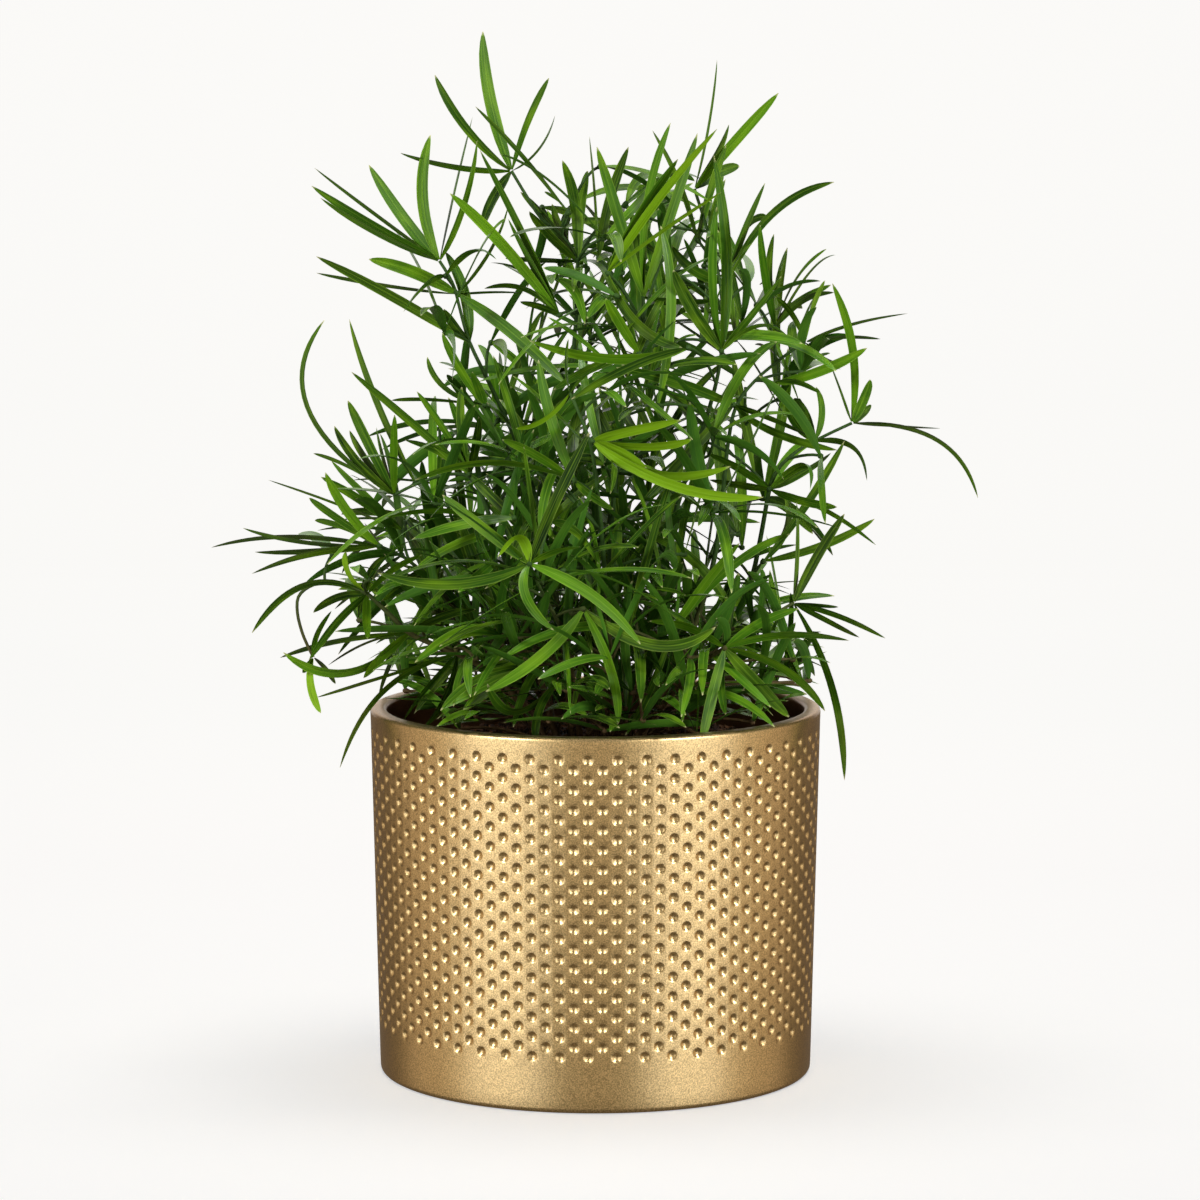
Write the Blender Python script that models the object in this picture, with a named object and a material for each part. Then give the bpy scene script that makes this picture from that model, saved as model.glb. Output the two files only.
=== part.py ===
# A potted asparagus fern: a gold pot with pitted walls, its soil, and leafy stems with flat narrow
# leaves in whorls. Sizes below are in millimetres and the meshes are written in metres.
# The origin is the middle of the pot's foot, and the front of the plant looks along -Y.

import math
import random

import bmesh
import bpy
import numpy as np
from mathutils import Matrix, Vector
from mathutils.bvhtree import BVHTree

MM = 0.001

# Pot
POT_HEIGHT = 122.5
POT_RIM_RADIUS = 75.0
POT_FOOT_RADIUS = 72.2
POT_WALL = 5.5
POT_FLOOR = 7.0
FOOT_ROUND = 1.8
LIP_ROUND = 1.4
PIT_LOW = 18.5
PIT_HIGH = 115.2
PIT_DEPTH = 1.0
PIT_COLUMNS = 40
PIT_ROWS = 13
PLAIN_BAND = 2.8

# Soil
SOIL_BELOW_LIP = 15.0
SOIL_MOUND = 2.5
SOIL_SIDES = 24
SOIL_RINGS = (0.72, 0.42)
SOIL_LUMPS = (0.6, 0.5)
FLOOR_GAP = 0.3
WALL_GAP = 0.74
FOOT_GAP = 1.1
HOLE_GAP = 0.35
HOLE_DEPTH = 16.0

# Stems and leaves
FOOT_THICKNESS = 3.2
TIP_THICKNESS = 1.5
BRANCH_THICKNESS = 1.4
HUB_RADIUS = 1.9
MOST_LEAN = math.radians(42)
SLIP = 0.04
LEAF_WIDTH = 4.4
LEAF_THICKNESS = 0.9
LEAF_LENGTHS = (36.0, 58.0)
SLIGHT_BEND = 2.6
STRONG_BEND = 7.0
CLEARANCE = 0.5
SEED = 7

# How far a plain whorl stands from its stem, and how its leaves lean (in degrees), droop and sway
# (as shares of their length), get shorter where there is little room, and roll
WHORL_REACH = (12, 34)
PLAIN_LEAN = (28, 80)
PLAIN_DROOP = (0.02, 0.16)
PLAIN_SWAY = 0.07
PLAIN_SHORT = 0.75
PLAIN_ROLL = 0.55

# The eye that the places below are seen from, straight in front of the pot
EYE_BACK = 1505.2
EYE_HEIGHT = 334.5
EYE_DIP = 0.122
EYE_SPAN = 1518.8
EYE_LEVEL = 163.07

# The outline that the crown's plain leaves stay in, as places across and up
CROWN = (
    (-55, 126), (-75, 140), (-96, 152), (-90, 168), (-104, 182), (-98, 198), (-88, 216), (-80, 234),
    (-70, 226), (-62, 218), (-54, 232), (-56, 246), (-48, 258), (-62, 268), (-80, 282), (-86, 302),
    (-70, 310), (-56, 318), (-44, 312), (-36, 330), (-24, 332), (-14, 318), (0, 320), (12, 318),
    (24, 324), (38, 322), (50, 326), (52, 308), (60, 298), (66, 284), (78, 280), (80, 268), (92, 258),
    (82, 248), (70, 240), (72, 228), (78, 222), (76, 206), (88, 196), (84, 186), (76, 180), (84, 170),
    (90, 158), (80, 150), (72, 138), (60, 126),
)
CROWN_DEPTH = 84.0

# Each leafy stem has its foot on the soil (x, y), the places that its stem passes (across, up,
# depth), how many plain whorls the rule adds, and its chosen whorls. A whorl is its place and its
# leaves. A leaf is its tip (across, up, depth from the whorl), the place that its middle passes
# (across, up) and the width that it shows to the eye.
STEMS = {
    "leafy_stem_01": {
        "foot": (-8, 2),
        "route": ((-12, 165, -2), (-20, 205, -8), (-30, 232, -12), (-42, 257, -12), (-47, 275, -10),
                  (-52, 284, -8)),
        "plain": 3,
        "whorls": (
            ((-52, 284, -8), (
                ((-55, 326, -6), (-57.5, 305), 4.2), ((-75.5, 316, 6), (-64, 298.5), 4.4),
                ((-93.6, 315, 12), (-73, 299.5), 1.4), ((-94.6, 309, 2), (-74, 296), 3.2),
                ((-91.6, 305, -4), (-72, 293), 1.8), ((-41, 332, 12), (-47, 308), 0.8),
                ((-39.5, 324, -6), (-44, 303), 2.3))),
            ((-50, 279, -16), (
                ((-33, 284.5, -8), (-41, 287.5), 1.6), ((-64, 267, -10), (-57, 276), 1.6))),
            ((-46, 273, -10), (
                ((-75.5, 284.6, -10), (-61, 280.5), 4.5), ((-93, 280, 10), (-70, 276), 1.3),
                ((-24, 273.3, 4), (-34, 273.8), 0.9), ((-29, 303, 2), (-35, 288), 1.3),
                ((-10, 243, -14), (-27, 259.5), 4.4))),
            ((-42, 257, -12), (
                ((-93, 285.5, -4), (-68, 272.5), 3.6), ((-50, 287, 8), (-43.5, 273), 4.0),
                ((-50.5, 268, -8), (-46.5, 262), 3.0))),
            ((-37, 236, -18), (
                ((-51, 260, -6), (-45, 248), 3.0), ((-41, 247, -12), (-38.5, 241), 3.4),
                ((-56, 252, 0), (-50, 242), 1.8), ((-68, 237.5, 6), (-55, 238), 1.2))),
        ),
    },
    "leafy_stem_02": {
        "foot": (-2, 5),
        "route": ((-4, 165, 4), (-6, 205, 2), (-8, 245, 0), (-6, 284, -2), (-18, 298, -2),
                  (-28, 314, 0)),
        "plain": 3,
        "whorls": (
            ((-28, 314, 0), (
                ((-37.5, 360.5, 0), (-35, 338), 4.6), ((-53.5, 346, 4), (-43, 328.5), 2.9),
                ((-15.5, 345, 4), (-22.8, 330.5), 2.4), ((-65, 320, -6), (-46.5, 315.5), 2.2),
                ((-13.5, 332.5, 8), (-19, 321.5), 0.8), ((-38, 295, -6), (-34.5, 304.5), 3.6))),
            ((-9, 300, -8), (
                ((-40, 335.5, -8), (-24, 319), 1.6), ((-17, 307, 4), (-12.5, 304.5), 0.8))),
            ((-6, 284, -2), (
                ((-11, 317.5, -10), (-6.5, 302), 4.2), ((-14.5, 303, 6), (-11, 293.5), 2.6),
                ((-25, 307, 12), (-15, 296.5), 2.6), ((-22, 300.5, -6), (-15, 292.5), 3.2),
                ((-30, 285, -10), (-19, 284.6), 1.8), ((-2.5, 314, 16), (-5, 302), 3.4))),
            ((-12, 266, -12), (
                ((-38.5, 321, -8), (-24.5, 294), 2.7), ((-48.5, 306.5, -12), (-31, 289.5), 4.0),
                ((-29, 298, 0), (-21.5, 284), 2.2), ((-37, 274.8, 2), (-24, 275), 2.0),
                ((-25, 270.5, -8), (-18.5, 269), 2.4))),
        ),
    },
    "leafy_stem_03": {
        "foot": (3, -2),
        "route": ((4, 165, -8), (6, 205, -12), (10, 235, -16), (14.5, 253.5, -18), (16, 272, -14)),
        "plain": 3,
        "whorls": (
            ((16, 272, -14), (
                ((0.5, 322, -8), (8, 298), 4.2), ((34, 326.5, 0), (24.5, 298), 3.6),
                ((11.5, 302, 10), (14.5, 287), 3.0), ((25, 330, 8), (17, 303), 2.8),
                ((39, 271, -6), (28, 270.7), 2.2))),
            ((1, 285, -8), (
                ((11, 322, -6), (4.5, 304), 3.6), ((-2, 325.5, 10), (0, 306), 1.0))),
            ((4, 280, -24), (
                ((27.5, 318, -8), (14.5, 299), 3.6), ((40.5, 328, -12), (21, 305), 3.0),
                ((42, 307, -16), (22, 294), 1.4), ((29, 255, -12), (14, 263), 3.6))),
            ((14.5, 253, -36), (
                ((3.5, 271.5, -6), (8.5, 263), 3.6), ((-14, 241, -6), (0, 249), 3.0))),
        ),
    },
    "leafy_stem_04": {
        "foot": (9, 3),
        "route": ((18, 165, 0), (28, 205, -4), (37, 232, -10), (42, 254, -12), (41, 280, -2),
                  (33, 308, 6)),
        "plain": 3,
        "whorls": (
            ((33, 308, 6), (
                ((40.5, 351, 0), (37.6, 329.5), 1.0), ((61, 340, -6), (46, 323.5), 3.7),
                ((48, 315.5, 8), (41, 313.5), 4.0), ((44.5, 329.5, 4), (40, 319), 2.5))),
            ((34, 291, 4), (
                ((19, 327.5, 8), (28, 310.5), 2.0), ((43.5, 322.5, -2), (38, 307), 2.8))),
            ((42, 254, -22), (
                ((39.5, 319, -10), (43.8, 286), 4.0), ((40.5, 302, -12), (39.3, 277), 3.0),
                ((26, 281, -10), (32, 268.5), 4.6), ((62, 279, -4), (51, 265), 2.6),
                ((64, 259, -10), (54, 262.5), 1.4))),
            ((44, 277, 0), (
                ((56.5, 310, 2), (49, 293), 2.6), ((79.5, 310.3, -2), (59, 300), 2.7),
                ((57.5, 298.5, 6), (49.5, 294.5), 1.8), ((25.5, 289, 4), (33, 281), 3.8))),
            ((31, 255, -36), (
                ((-22, 257.5, -14), (6, 251.5), 3.6), ((-8, 238, -12), (12, 249), 3.0))),
        ),
    },
    "leafy_stem_05": {
        "foot": (15, -4),
        "route": ((32, 160, -6), (40, 187, -10), (43, 212, -12), (47, 236, -12), (60, 250, -8),
                  (70, 257, -8)),
        "plain": 3,
        "whorls": (
            ((70, 257, -8), (
                ((104, 266.5, 0), (86, 263.2), 1.3), ((95, 258, -4), (83, 258.8), 1.3),
                ((76.5, 277.5, 4), (72, 268), 1.6), ((84.5, 250, 6), (77, 251.5), 1.1),
                ((60, 272, 4), (66, 266), 2.0))),
            ((60, 262, -2), (
                ((59.5, 293, 8), (58, 278), 2.8), ((55, 296, -4), (56.5, 281), 3.0),
                ((80, 286, -2), (71, 280), 0.9), ((77, 288, 6), (67, 278.5), 0.8),
                ((79.5, 273.5, -4), (69, 271), 2.4), ((78.5, 276, 2), (67, 270), 3.0))),
            ((59, 243, -14), (
                ((90.5, 255, -6), (75, 247.5), 3.7), ((75, 240, -6), (67, 243.8), 1.8))),
            ((46, 236, -16), (
                ((7, 248.5, -20), (27, 243.5), 4.0), ((73, 225, -8), (59, 231.5), 2.0),
                ((80.5, 221, -16), (60, 227), 2.8), ((15, 203, -8), (31, 220), 3.6))),
        ),
    },
    "leafy_stem_06": {
        "foot": (18, 5),
        "route": ((40, 155, 4), (52, 178, 0), (58, 208, -14), (64, 218, -16), (73, 224, -12),
                  (85.5, 230, -12)),
        "plain": 2,
        "whorls": (
            ((85.5, 230, -12), (
                ((79, 276.5, 0), (86, 254), 3.0), ((91.5, 244.5, -4), (89.3, 238), 3.6),
                ((92, 235.5, 6), (89, 233.3), 2.8), ((78, 250.5, 6), (82, 240.5), 0.9),
                ((115, 228.2, 2), (100, 229.2), 0.9), ((127.5, 205, -6), (114, 224.5), 1.6))),
            ((73, 224, -12), (
                ((90.5, 210.8, -6), (86, 222), 1.8), ((73.5, 242, 6), (75.2, 233.5), 2.4),
                ((66, 238, 10), (70.5, 233), 2.6), ((64, 238.5, -6), (66.5, 230.5), 2.9))),
            ((58, 208, -16), (
                ((80.5, 202, -8), (69, 204.2), 3.0), ((71.5, 207.5, -12), (70, 216), 2.2),
                ((78.5, 220, 8), (69, 213.5), 2.4), ((37, 220, -4), (47, 215.5), 2.8),
                ((93.5, 189.3, -6), (77, 201), 1.8), ((38, 211, 6), (48, 209.5), 2.6))),
            ((56, 184, -6), (
                ((83, 224, -6), (69.5, 202), 2.8), ((93, 198, 2), (76, 189.5), 3.0),
                ((63, 206, 2), (63.5, 195), 2.4))),
        ),
    },
    "leafy_stem_07": {
        "foot": (12, -12),
        "route": ((22, 135, -20), (33, 148, -34), (43, 155, -42), (56, 164, -32), (66, 170, -20)),
        "plain": 2,
        "whorls": (
            ((43, 155, -46), (
                ((35, 122, -8), (39, 140), 3.8), ((64.5, 132, 6), (54, 143), 4.4),
                ((84.5, 157.5, 4), (63, 159.5), 2.6), ((67.5, 168, 12), (55, 163.5), 3.4),
                ((76.5, 134, 4), (63, 148), 2.8), ((18, 164, -6), (31, 162), 2.8))),
            ((66, 170, -20), (
                ((83, 199.7, -4), (74, 186), 3.6), ((67, 203.5, -8), (67, 187), 1.6),
                ((81, 168.7, -4), (73, 169.5), 1.3), ((96.6, 158.3, -6), (82, 165.5), 2.0),
                ((88, 158.5, 2), (77, 164.5), 2.0), ((83, 111, -10), (79, 142), 2.6))),
            ((25, 160, -30), (
                ((48, 190, -6), (36, 176), 3.2), ((65, 193, 10), (45, 182), 3.0),
                ((10, 126, -4), (18, 141), 2.4))),
        ),
    },
    "leafy_stem_08": {
        "foot": (-5, -13),
        "route": ((-7, 140, -22), (-10, 158, -38), (-17, 172, -52), (-22, 183, -62)),
        "plain": 3,
        "whorls": (
            ((-22, 183, -66), (
                ((-2, 227, -4), (-13.5, 204), 3.8), ((15, 156.3, -8), (-1, 172.5), 4.0),
                ((-14, 161, -8), (-23, 172.5), 3.4), ((-72.5, 180, 8), (-47, 176.5), 3.9),
                ((-51, 206, 4), (-37.5, 195), 3.9), ((-32.5, 185.3, -6), (-25.5, 192), 2.2),
                ((-5, 188.7, -8), (-13, 187.5), 2.0))),
            ((-15, 197, -54), (
                ((1, 183, -10), (-6, 193.5), 2.8),)),
            ((-4, 168, -54), (
                ((-36.5, 140.5, -4), (-18, 152.5), 4.2), ((40, 162, -8), (20, 156), 4.2),
                ((7.5, 129.5, -4), (5.5, 147), 3.4))),
            ((-13, 143, -38), (
                ((-36, 143, -8), (-27, 134), 2.4), ((-20, 122, -4), (-19, 134), 3.0))),
        ),
    },
    "leafy_stem_09": {
        "foot": (-18, -8),
        "route": ((-30, 143, -14), (-46, 153, -20), (-62, 160, -24), (-76, 173, -28), (-90, 177, -26),
                  (-99, 172, -26), (-98, 161, -26), (-94, 152, -26)),
        "plain": 2,
        "whorls": (
            ((-76, 173, -28), (
                ((-76, 158, -8), (-76.5, 166), 3.2), ((-95.5, 151, -8), (-86, 164), 2.8),
                ((-83, 187, -8), (-82, 180), 1.9), ((-94, 166.8, 4), (-86, 172), 3.0),
                ((-114.5, 160, -6), (-97, 176), 2.2), ((-58, 186, -4), (-68, 181), 2.2))),
            ((-94, 152, -26), (
                ((-88, 167.3, 4), (-93, 159.5), 2.0), ((-97.7, 146.8, -2), (-96, 149.5), 1.8),
                ((-91.5, 133.3, -4), (-94.7, 143), 2.7), ((-86.7, 143, 4), (-90, 148.5), 1.7))),
            ((-62, 160, -24), (
                ((-105, 151.8, 2), (-86, 157.5), 2.0), ((-104, 153.5, -8), (-83, 147), 2.8),
                ((-77.3, 145, -4), (-70.5, 153), 3.0), ((-89, 149.3, 10), (-76, 157), 0.9),
                ((-40, 168, -10), (-50, 166), 3.0))),
            ((-46, 153, -20), (
                ((-85.2, 115, -8), (-71, 140.5), 2.0), ((-93, 138.5, 4), (-71, 145.5), 1.2),
                ((-64, 131, -10), (-57, 141), 1.8), ((-57, 129, -14), (-50, 139), 2.4))),
        ),
    },
    "leafy_stem_10": {
        "foot": (-17, 2),
        "route": ((-34, 152, 0), (-50, 172, -6), (-62, 184, -12), (-72, 189, -16)),
        "plain": 3,
        "whorls": (
            ((-72, 189, -18), (
                ((-117.5, 195, 4), (-97, 190.5), 1.6), ((-128, 188.5, 4), (-103, 192.3), 1.8),
                ((-113.5, 187, -4), (-94, 187.5), 2.2), ((-114.5, 179.8, -8), (-95, 186.5), 2.4),
                ((-95.5, 205, 6), (-86, 198.5), 2.7), ((-93.5, 197.4, 12), (-84, 195.5), 1.8),
                ((-90, 213.5, -8), (-82.5, 200.5), 3.5))),
            ((-64, 194, -6), (
                ((-91.5, 212, 4), (-77.5, 204), 3.2), ((-109, 211, 4), (-87, 203.5), 1.0),
                ((-88, 217.3, 12), (-78, 207.5), 2.6))),
        ),
    },
    "leafy_stem_11": {
        "foot": (-13, -4),
        "route": ((-24, 165, -14), (-34, 195, -20), (-42, 212, -20), (-56, 211, -18), (-67, 206, -16)),
        "plain": 3,
        "whorls": (
            ((-67, 206, -16), (
                ((-87, 229, -2), (-79, 217), 3.2), ((-82.5, 237.5, -4), (-75.5, 223), 3.5),
                ((-82, 227.5, 8), (-76, 217.5), 2.4), ((-67, 232.7, -10), (-67.5, 219), 2.9),
                ((-73, 228.5, 8), (-70.5, 218), 1.4), ((-90.3, 264.3, 4), (-95.5, 235), 1.8),
                ((-94, 219.8, 6), (-82, 215.5), 1.2))),
            ((-60, 210, -10), (
                ((-82, 264.5, 4), (-73, 238), 2.5),)),
            ((-42, 213, -22), (
                ((-81.3, 247, -4), (-62, 231), 3.0), ((-63.5, 224.3, 2), (-52, 220.5), 2.6),
                ((-59.5, 240.5, 0), (-50, 227.5), 2.2), ((-44.5, 242, -8), (-44.5, 228), 3.0),
                ((-39, 232, -14), (-40, 223), 3.2), ((-26, 197, -12), (-33, 204), 3.6))),
            ((-36, 199, -24), (
                ((-70, 198.5, -10), (-54, 201), 1.9),)),
        ),
    },
    "leafy_stem_12": {
        "foot": (0, 14),
        "route": ((0, 165, 22), (-2, 205, 34), (-4, 240, 42), (0, 270, 44)),
        "plain": 6,
        "whorls": (),
    },
    "leafy_stem_13": {
        "foot": (-13, 13),
        "route": ((-26, 155, 22), (-40, 180, 36), (-50, 205, 42), (-52, 228, 42)),
        "plain": 6,
        "whorls": (),
    },
    "leafy_stem_14": {
        "foot": (12, 14),
        "route": ((24, 155, 22), (38, 185, 34), (48, 215, 40), (50, 242, 40)),
        "plain": 6,
        "whorls": (),
    },
    "leafy_stem_15": {
        "foot": (5, -12),
        "route": ((5, 150, -28), (3, 180, -40), (1, 205, -50), (-2, 224, -56), (-8.5, 240, -54)),
        "plain": 2,
        "whorls": (
            ((-1, 224, -58), (
                ((17, 215, -4), (8.5, 220.5), 3.0), ((32, 224.6, -10), (18, 222.3), 2.6),
                ((45, 215.6, -6), (20, 213), 3.2), ((56, 205.3, -14), (27, 209), 3.7),
                ((28.5, 231, -10), (10, 227), 3.4))),
            ((-8.5, 240, -54), (
                ((-26.5, 228.3, -6), (-17, 231.5), 1.7), ((-9, 258, 4), (-9.5, 249), 1.0),
                ((4, 250, 2), (-3, 246.5), 1.2))),
            ((-7, 211, -50), (
                ((-19, 251, -10), (-14.5, 231), 4.0), ((-31, 224.5, -4), (-20, 219.5), 3.0),
                ((-60, 211, 2), (-34, 217), 2.0), ((6, 201.3, -8), (-2, 206.5), 2.7))),
        ),
    },
}

Z_UP = Vector((0, 0, 1))


def seen(across, up, depth):
    # The point at this depth (along Y) that the eye sees at this place across and up.
    lift = (up - EYE_LEVEL) / EYE_SPAN
    reach = (EYE_BACK + depth) / (math.cos(EYE_DIP) + lift * math.sin(EYE_DIP))
    rise = reach * (lift * math.cos(EYE_DIP) - math.sin(EYE_DIP))
    return Vector((reach * across / EYE_SPAN, depth, EYE_HEIGHT + rise))


def place_of(point):
    # The place across and up at which the eye sees this point.
    back, high = point.y + EYE_BACK, point.z - EYE_HEIGHT
    reach = back * math.cos(EYE_DIP) - high * math.sin(EYE_DIP)
    rise = high * math.cos(EYE_DIP) + back * math.sin(EYE_DIP)
    return point.x / reach * EYE_SPAN, rise / reach * EYE_SPAN + EYE_LEVEL


def in_crown(point):
    across, up = place_of(point)
    inside = False
    for (a0, u0), (a1, u1) in zip(CROWN, CROWN[1:] + CROWN[:1]):
        if (u0 > up) != (u1 > up) and across < a0 + (up - u0) / (u1 - u0) * (a1 - a0):
            inside = not inside
    return inside and abs(point.y) < CROWN_DEPTH


def outer_radius(z):
    return POT_FOOT_RADIUS + (POT_RIM_RADIUS - POT_FOOT_RADIUS) * z / POT_HEIGHT


def clear_of_pot(point, room=2.5):
    # Above the soil inside the pot, above the lip over its wall, and anywhere outside it.
    radius = math.hypot(point.x, point.y)
    if radius > POT_RIM_RADIUS + room:
        return point.z > 2
    if radius > POT_RIM_RADIUS - POT_WALL - room:
        return point.z > POT_HEIGHT + room
    return point.z > POT_HEIGHT - SOIL_BELOW_LIP + SOIL_MOUND + 1.5


def smooth_route(points, per_span=2):
    # A Catmull-Rom curve through the points.
    ends = [2 * points[0] - points[1], *points, 2 * points[-1] - points[-2]]
    route = []
    for a, b, c, d in zip(ends, ends[1:], ends[2:], ends[3:]):
        for k in range(per_span):
            t = k / per_span
            route.append(0.5 * ((2 * b) + (c - a) * t + (2 * a - 5 * b + 4 * c - d) * t ** 2
                                + (3 * b - a - 3 * c + d) * t ** 3))
    return [*route, points[-1]]


def tube(points, radii, sides):
    # A closed tube of so many sides along the points.
    verts, faces = [], []
    side = Vector((1, 0.1, 0))
    for k, (point, radius) in enumerate(zip(points, radii)):
        along = points[min(k + 1, len(points) - 1)] - points[max(k - 1, 0)]
        side = (side - along * side.dot(along) / along.length_squared).normalized()
        other = along.normalized().cross(side)
        for s in range(sides):
            turn = 2 * math.pi * s / sides
            verts.append(point + radius * (math.cos(turn) * side + math.sin(turn) * other))
    for k in range(len(points) - 1):
        for s in range(sides):
            a, b = k * sides + s, k * sides + (s + 1) % sides
            faces.append((a, b, b + sides, a + sides))
    faces.append(tuple(reversed(range(sides))))
    faces.append(tuple(range(len(verts) - sides, len(verts))))
    return verts, faces


def curve_point(leaf, t):
    base, bow, tip = leaf["base"], leaf["bow"], leaf["tip"]
    return (1 - t) ** 2 * base + 2 * t * (1 - t) * bow + t ** 2 * tip


def curve_along(leaf, t):
    base, bow, tip = leaf["base"], leaf["bow"], leaf["tip"]
    return ((1 - t) * (bow - base) + t * (tip - bow)).normalized()


def blade_rings(leaf, extra=0.0, outer=False):
    # Rings of three corners along the leaf's curve. Extra thickens the blade on all sides, and outer
    # leaves out its root.
    stations = ((0.0, 0.45), (0.42, 1.0))
    if leaf["bend"] > SLIGHT_BEND:
        stations = ((0.0, 0.45), (0.30, 0.92), (0.66, 0.84))
    if leaf["bend"] > STRONG_BEND:
        stations = ((0.0, 0.45), (0.25, 0.85), (0.5, 1.0), (0.76, 0.68))
    if outer:
        stations = ((0.28, 0.85), *(pair for pair in stations if pair[0] > 0.3))
    rings = []
    for t, share in stations:
        point, along = curve_point(leaf, t), curve_along(leaf, t)
        side = along.cross(leaf["face"]).normalized()
        normal = side.cross(along)
        half = 0.5 * leaf["width"] * share + extra
        low = 0.35 * LEAF_THICKNESS + extra
        high = 0.65 * LEAF_THICKNESS + extra
        rings.append([point - half * side - low * normal, point + high * normal,
                      point + half * side - low * normal])
    return rings, leaf["tip"] + 2 * extra * curve_along(leaf, 1.0)


def loft(first, rings, tip, start):
    # Faces from the corners numbered first through three-cornered rings, whose corners are numbered
    # from start, to the tip or to a flat end. Also all the new corners.
    verts = [corner for one in rings for corner in one]
    faces = []
    for k in range(len(rings)):
        above = [start + 3 * k + s for s in range(3)]
        for s in range(3):
            n = (s + 1) % 3
            faces += [(first[s], first[n], above[n]), (first[s], above[n], above[s])]
        first = above
    if tip is None:
        faces.append(tuple(first))
    else:
        faces += [(first[s], first[(s + 1) % 3], start + len(verts)) for s in range(3)]
        verts.append(tip)
    return verts, faces


def blade(leaf, extra=0.0, outer=False):
    # The leaf as a closed shape of its own.
    rings, tip = blade_rings(leaf, extra, outer)
    verts, faces = loft([0, 1, 2], rings[1:], tip, 3)
    return [*rings[0], *verts], [(2, 1, 0), *faces]


def swollen(ring):
    centre = sum(ring, Vector()) / 3
    return [corner + CLEARANCE * (corner - centre).normalized() for corner in ring]


class Whorl:
    # A small hub of twenty faces. A branch and the leaves leave it, each from a face of its own.
    # Every hub is turned a little differently.
    def __init__(self, spot, thicket, owner):
        bm = bmesh.new()
        bmesh.ops.create_icosphere(bm, subdivisions=1, radius=HUB_RADIUS)
        bmesh.ops.rotate(bm, matrix=Matrix.Rotation(0.2 * spot.z, 3, "Z"), verts=bm.verts)
        bm.normal_update()
        self.verts = [spot + vert.co for vert in bm.verts]
        self.faces = [tuple(vert.index for vert in face.verts) for face in bm.faces]
        self.free = {face: one.normal.copy() for face, one in zip(self.faces, bm.faces)}
        self.apart = []
        self.thicket, self.owner = thicket, owner
        bm.free()

    def grow(self, way, rings, tip):
        # Grows the rings out of the free face that looks their way. False if that would cross.
        root = max(self.free, key=lambda face: self.free[face].dot(way))
        if self.free[root].dot(way) < math.cos(MOST_LEAN):
            return False
        corners = [self.verts[k] for k in root]
        middle = sum(corners, Vector()) / 3
        centre = sum(rings[0], Vector()) / 3
        def twist(turn):
            return sum(((corners[(s + turn) % 3] - middle).normalized()
                        - (rings[0][s] - centre).normalized()).length for s in range(3))
        turn = min(range(3), key=twist)
        first = [root[(s + turn) % 3] for s in range(3)]
        wide, sides = loft([0, 1, 2], [swollen(one) for one in rings], tip, 3)
        if self.thicket.meets(self.owner, [*swollen([self.verts[k] for k in first]), *wide], sides):
            return False
        verts, faces = loft(first, rings, tip, len(self.verts))
        grown = [*(self.verts[k] for k in first), *verts]
        kept = [face for face in self.faces if face != root]
        moved = BVHTree.FromPolygons([tuple(v + SLIP * way) for v in grown], sides)
        if moved.overlap(BVHTree.FromPolygons([tuple(v) for v in self.verts], kept)):
            return False
        self.thicket.add(self.owner, grown, sides)
        self.verts += verts
        self.faces = kept + faces
        del self.free[root]
        return True

    def add_branch(self, points):
        # The branch's points run from the hub down to the stem.
        verts, _ = tube(points, [0.5 * BRANCH_THICKNESS] * len(points), 3)
        rings = [verts[3 * k:3 * k + 3] for k in range(1, len(points))]
        if not self.grow((points[1] - points[0]).normalized(), rings, None):
            self.apart.append(tube(points, [0.5 * BRANCH_THICKNESS] * len(points), 3))

    def add_leaf(self, leaf):
        rings, tip = blade_rings(leaf)
        if not self.grow(curve_along(leaf, 0.0), rings[1:], tip):
            self.apart.append(blade(leaf))

    def shapes(self):
        return [(self.verts, self.faces), *self.apart]


def box_of(verts):
    rows = np.array([tuple(v) for v in verts])
    return rows.min(axis=0), rows.max(axis=0)


class Thicket:
    # What has grown so far, so that nothing new grows through it. Own holds each leaf without its
    # root, for a leaf among others of its own stem.
    def __init__(self, own=None):
        self.owners, self.lows, self.highs, self.trees = [], [], [], []
        self.own = own

    def add(self, owner, verts, faces):
        low, high = box_of(verts)
        self.owners.append(owner)
        self.lows.append(low)
        self.highs.append(high)
        self.trees.append(BVHTree.FromPolygons([tuple(v) for v in verts], faces))

    def meets(self, owner, verts, faces):
        # Whether the shape meets another owner's.
        if not self.owners:
            return False
        low, high = box_of(verts)
        near = np.all(np.array(self.lows) < high, axis=1) & np.all(np.array(self.highs) > low, axis=1)
        tree = None
        for k in np.flatnonzero(near):
            if self.owners[k] == owner:
                continue
            tree = tree or BVHTree.FromPolygons([tuple(v) for v in verts], faces)
            if tree.overlap(self.trees[k]):
                return True
        return False


def make_leaf(base, tip, middle, width, face):
    bow = 2 * middle - 0.5 * (base + tip)
    start = base + 0.5 * (bow - base).normalized()
    bend = (middle - 0.5 * (base + tip)).length
    return {"base": start, "tip": tip, "bow": bow, "width": width, "face": face, "bend": bend}


def leaf_is_clear(thicket, owner, leaf, strict=True):
    # Clear of the pot and of the other stems and, if strict, of its own stem past its root.
    if not all(clear_of_pot(curve_point(leaf, t)) for t in (0.15, 0.3, 0.45, 0.6, 0.75, 0.9, 1.0)):
        return False
    if thicket.meets(owner, *blade(leaf, CLEARANCE)):
        return False
    return not strict or not thicket.own.meets(None, *blade(leaf, 0.1, outer=True))


def add_leaf(thicket, owner, whorl, leaf):
    whorl.add_leaf(leaf)
    thicket.add(owner, *blade(leaf))
    thicket.own.add(owner, *blade(leaf, outer=True))


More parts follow.
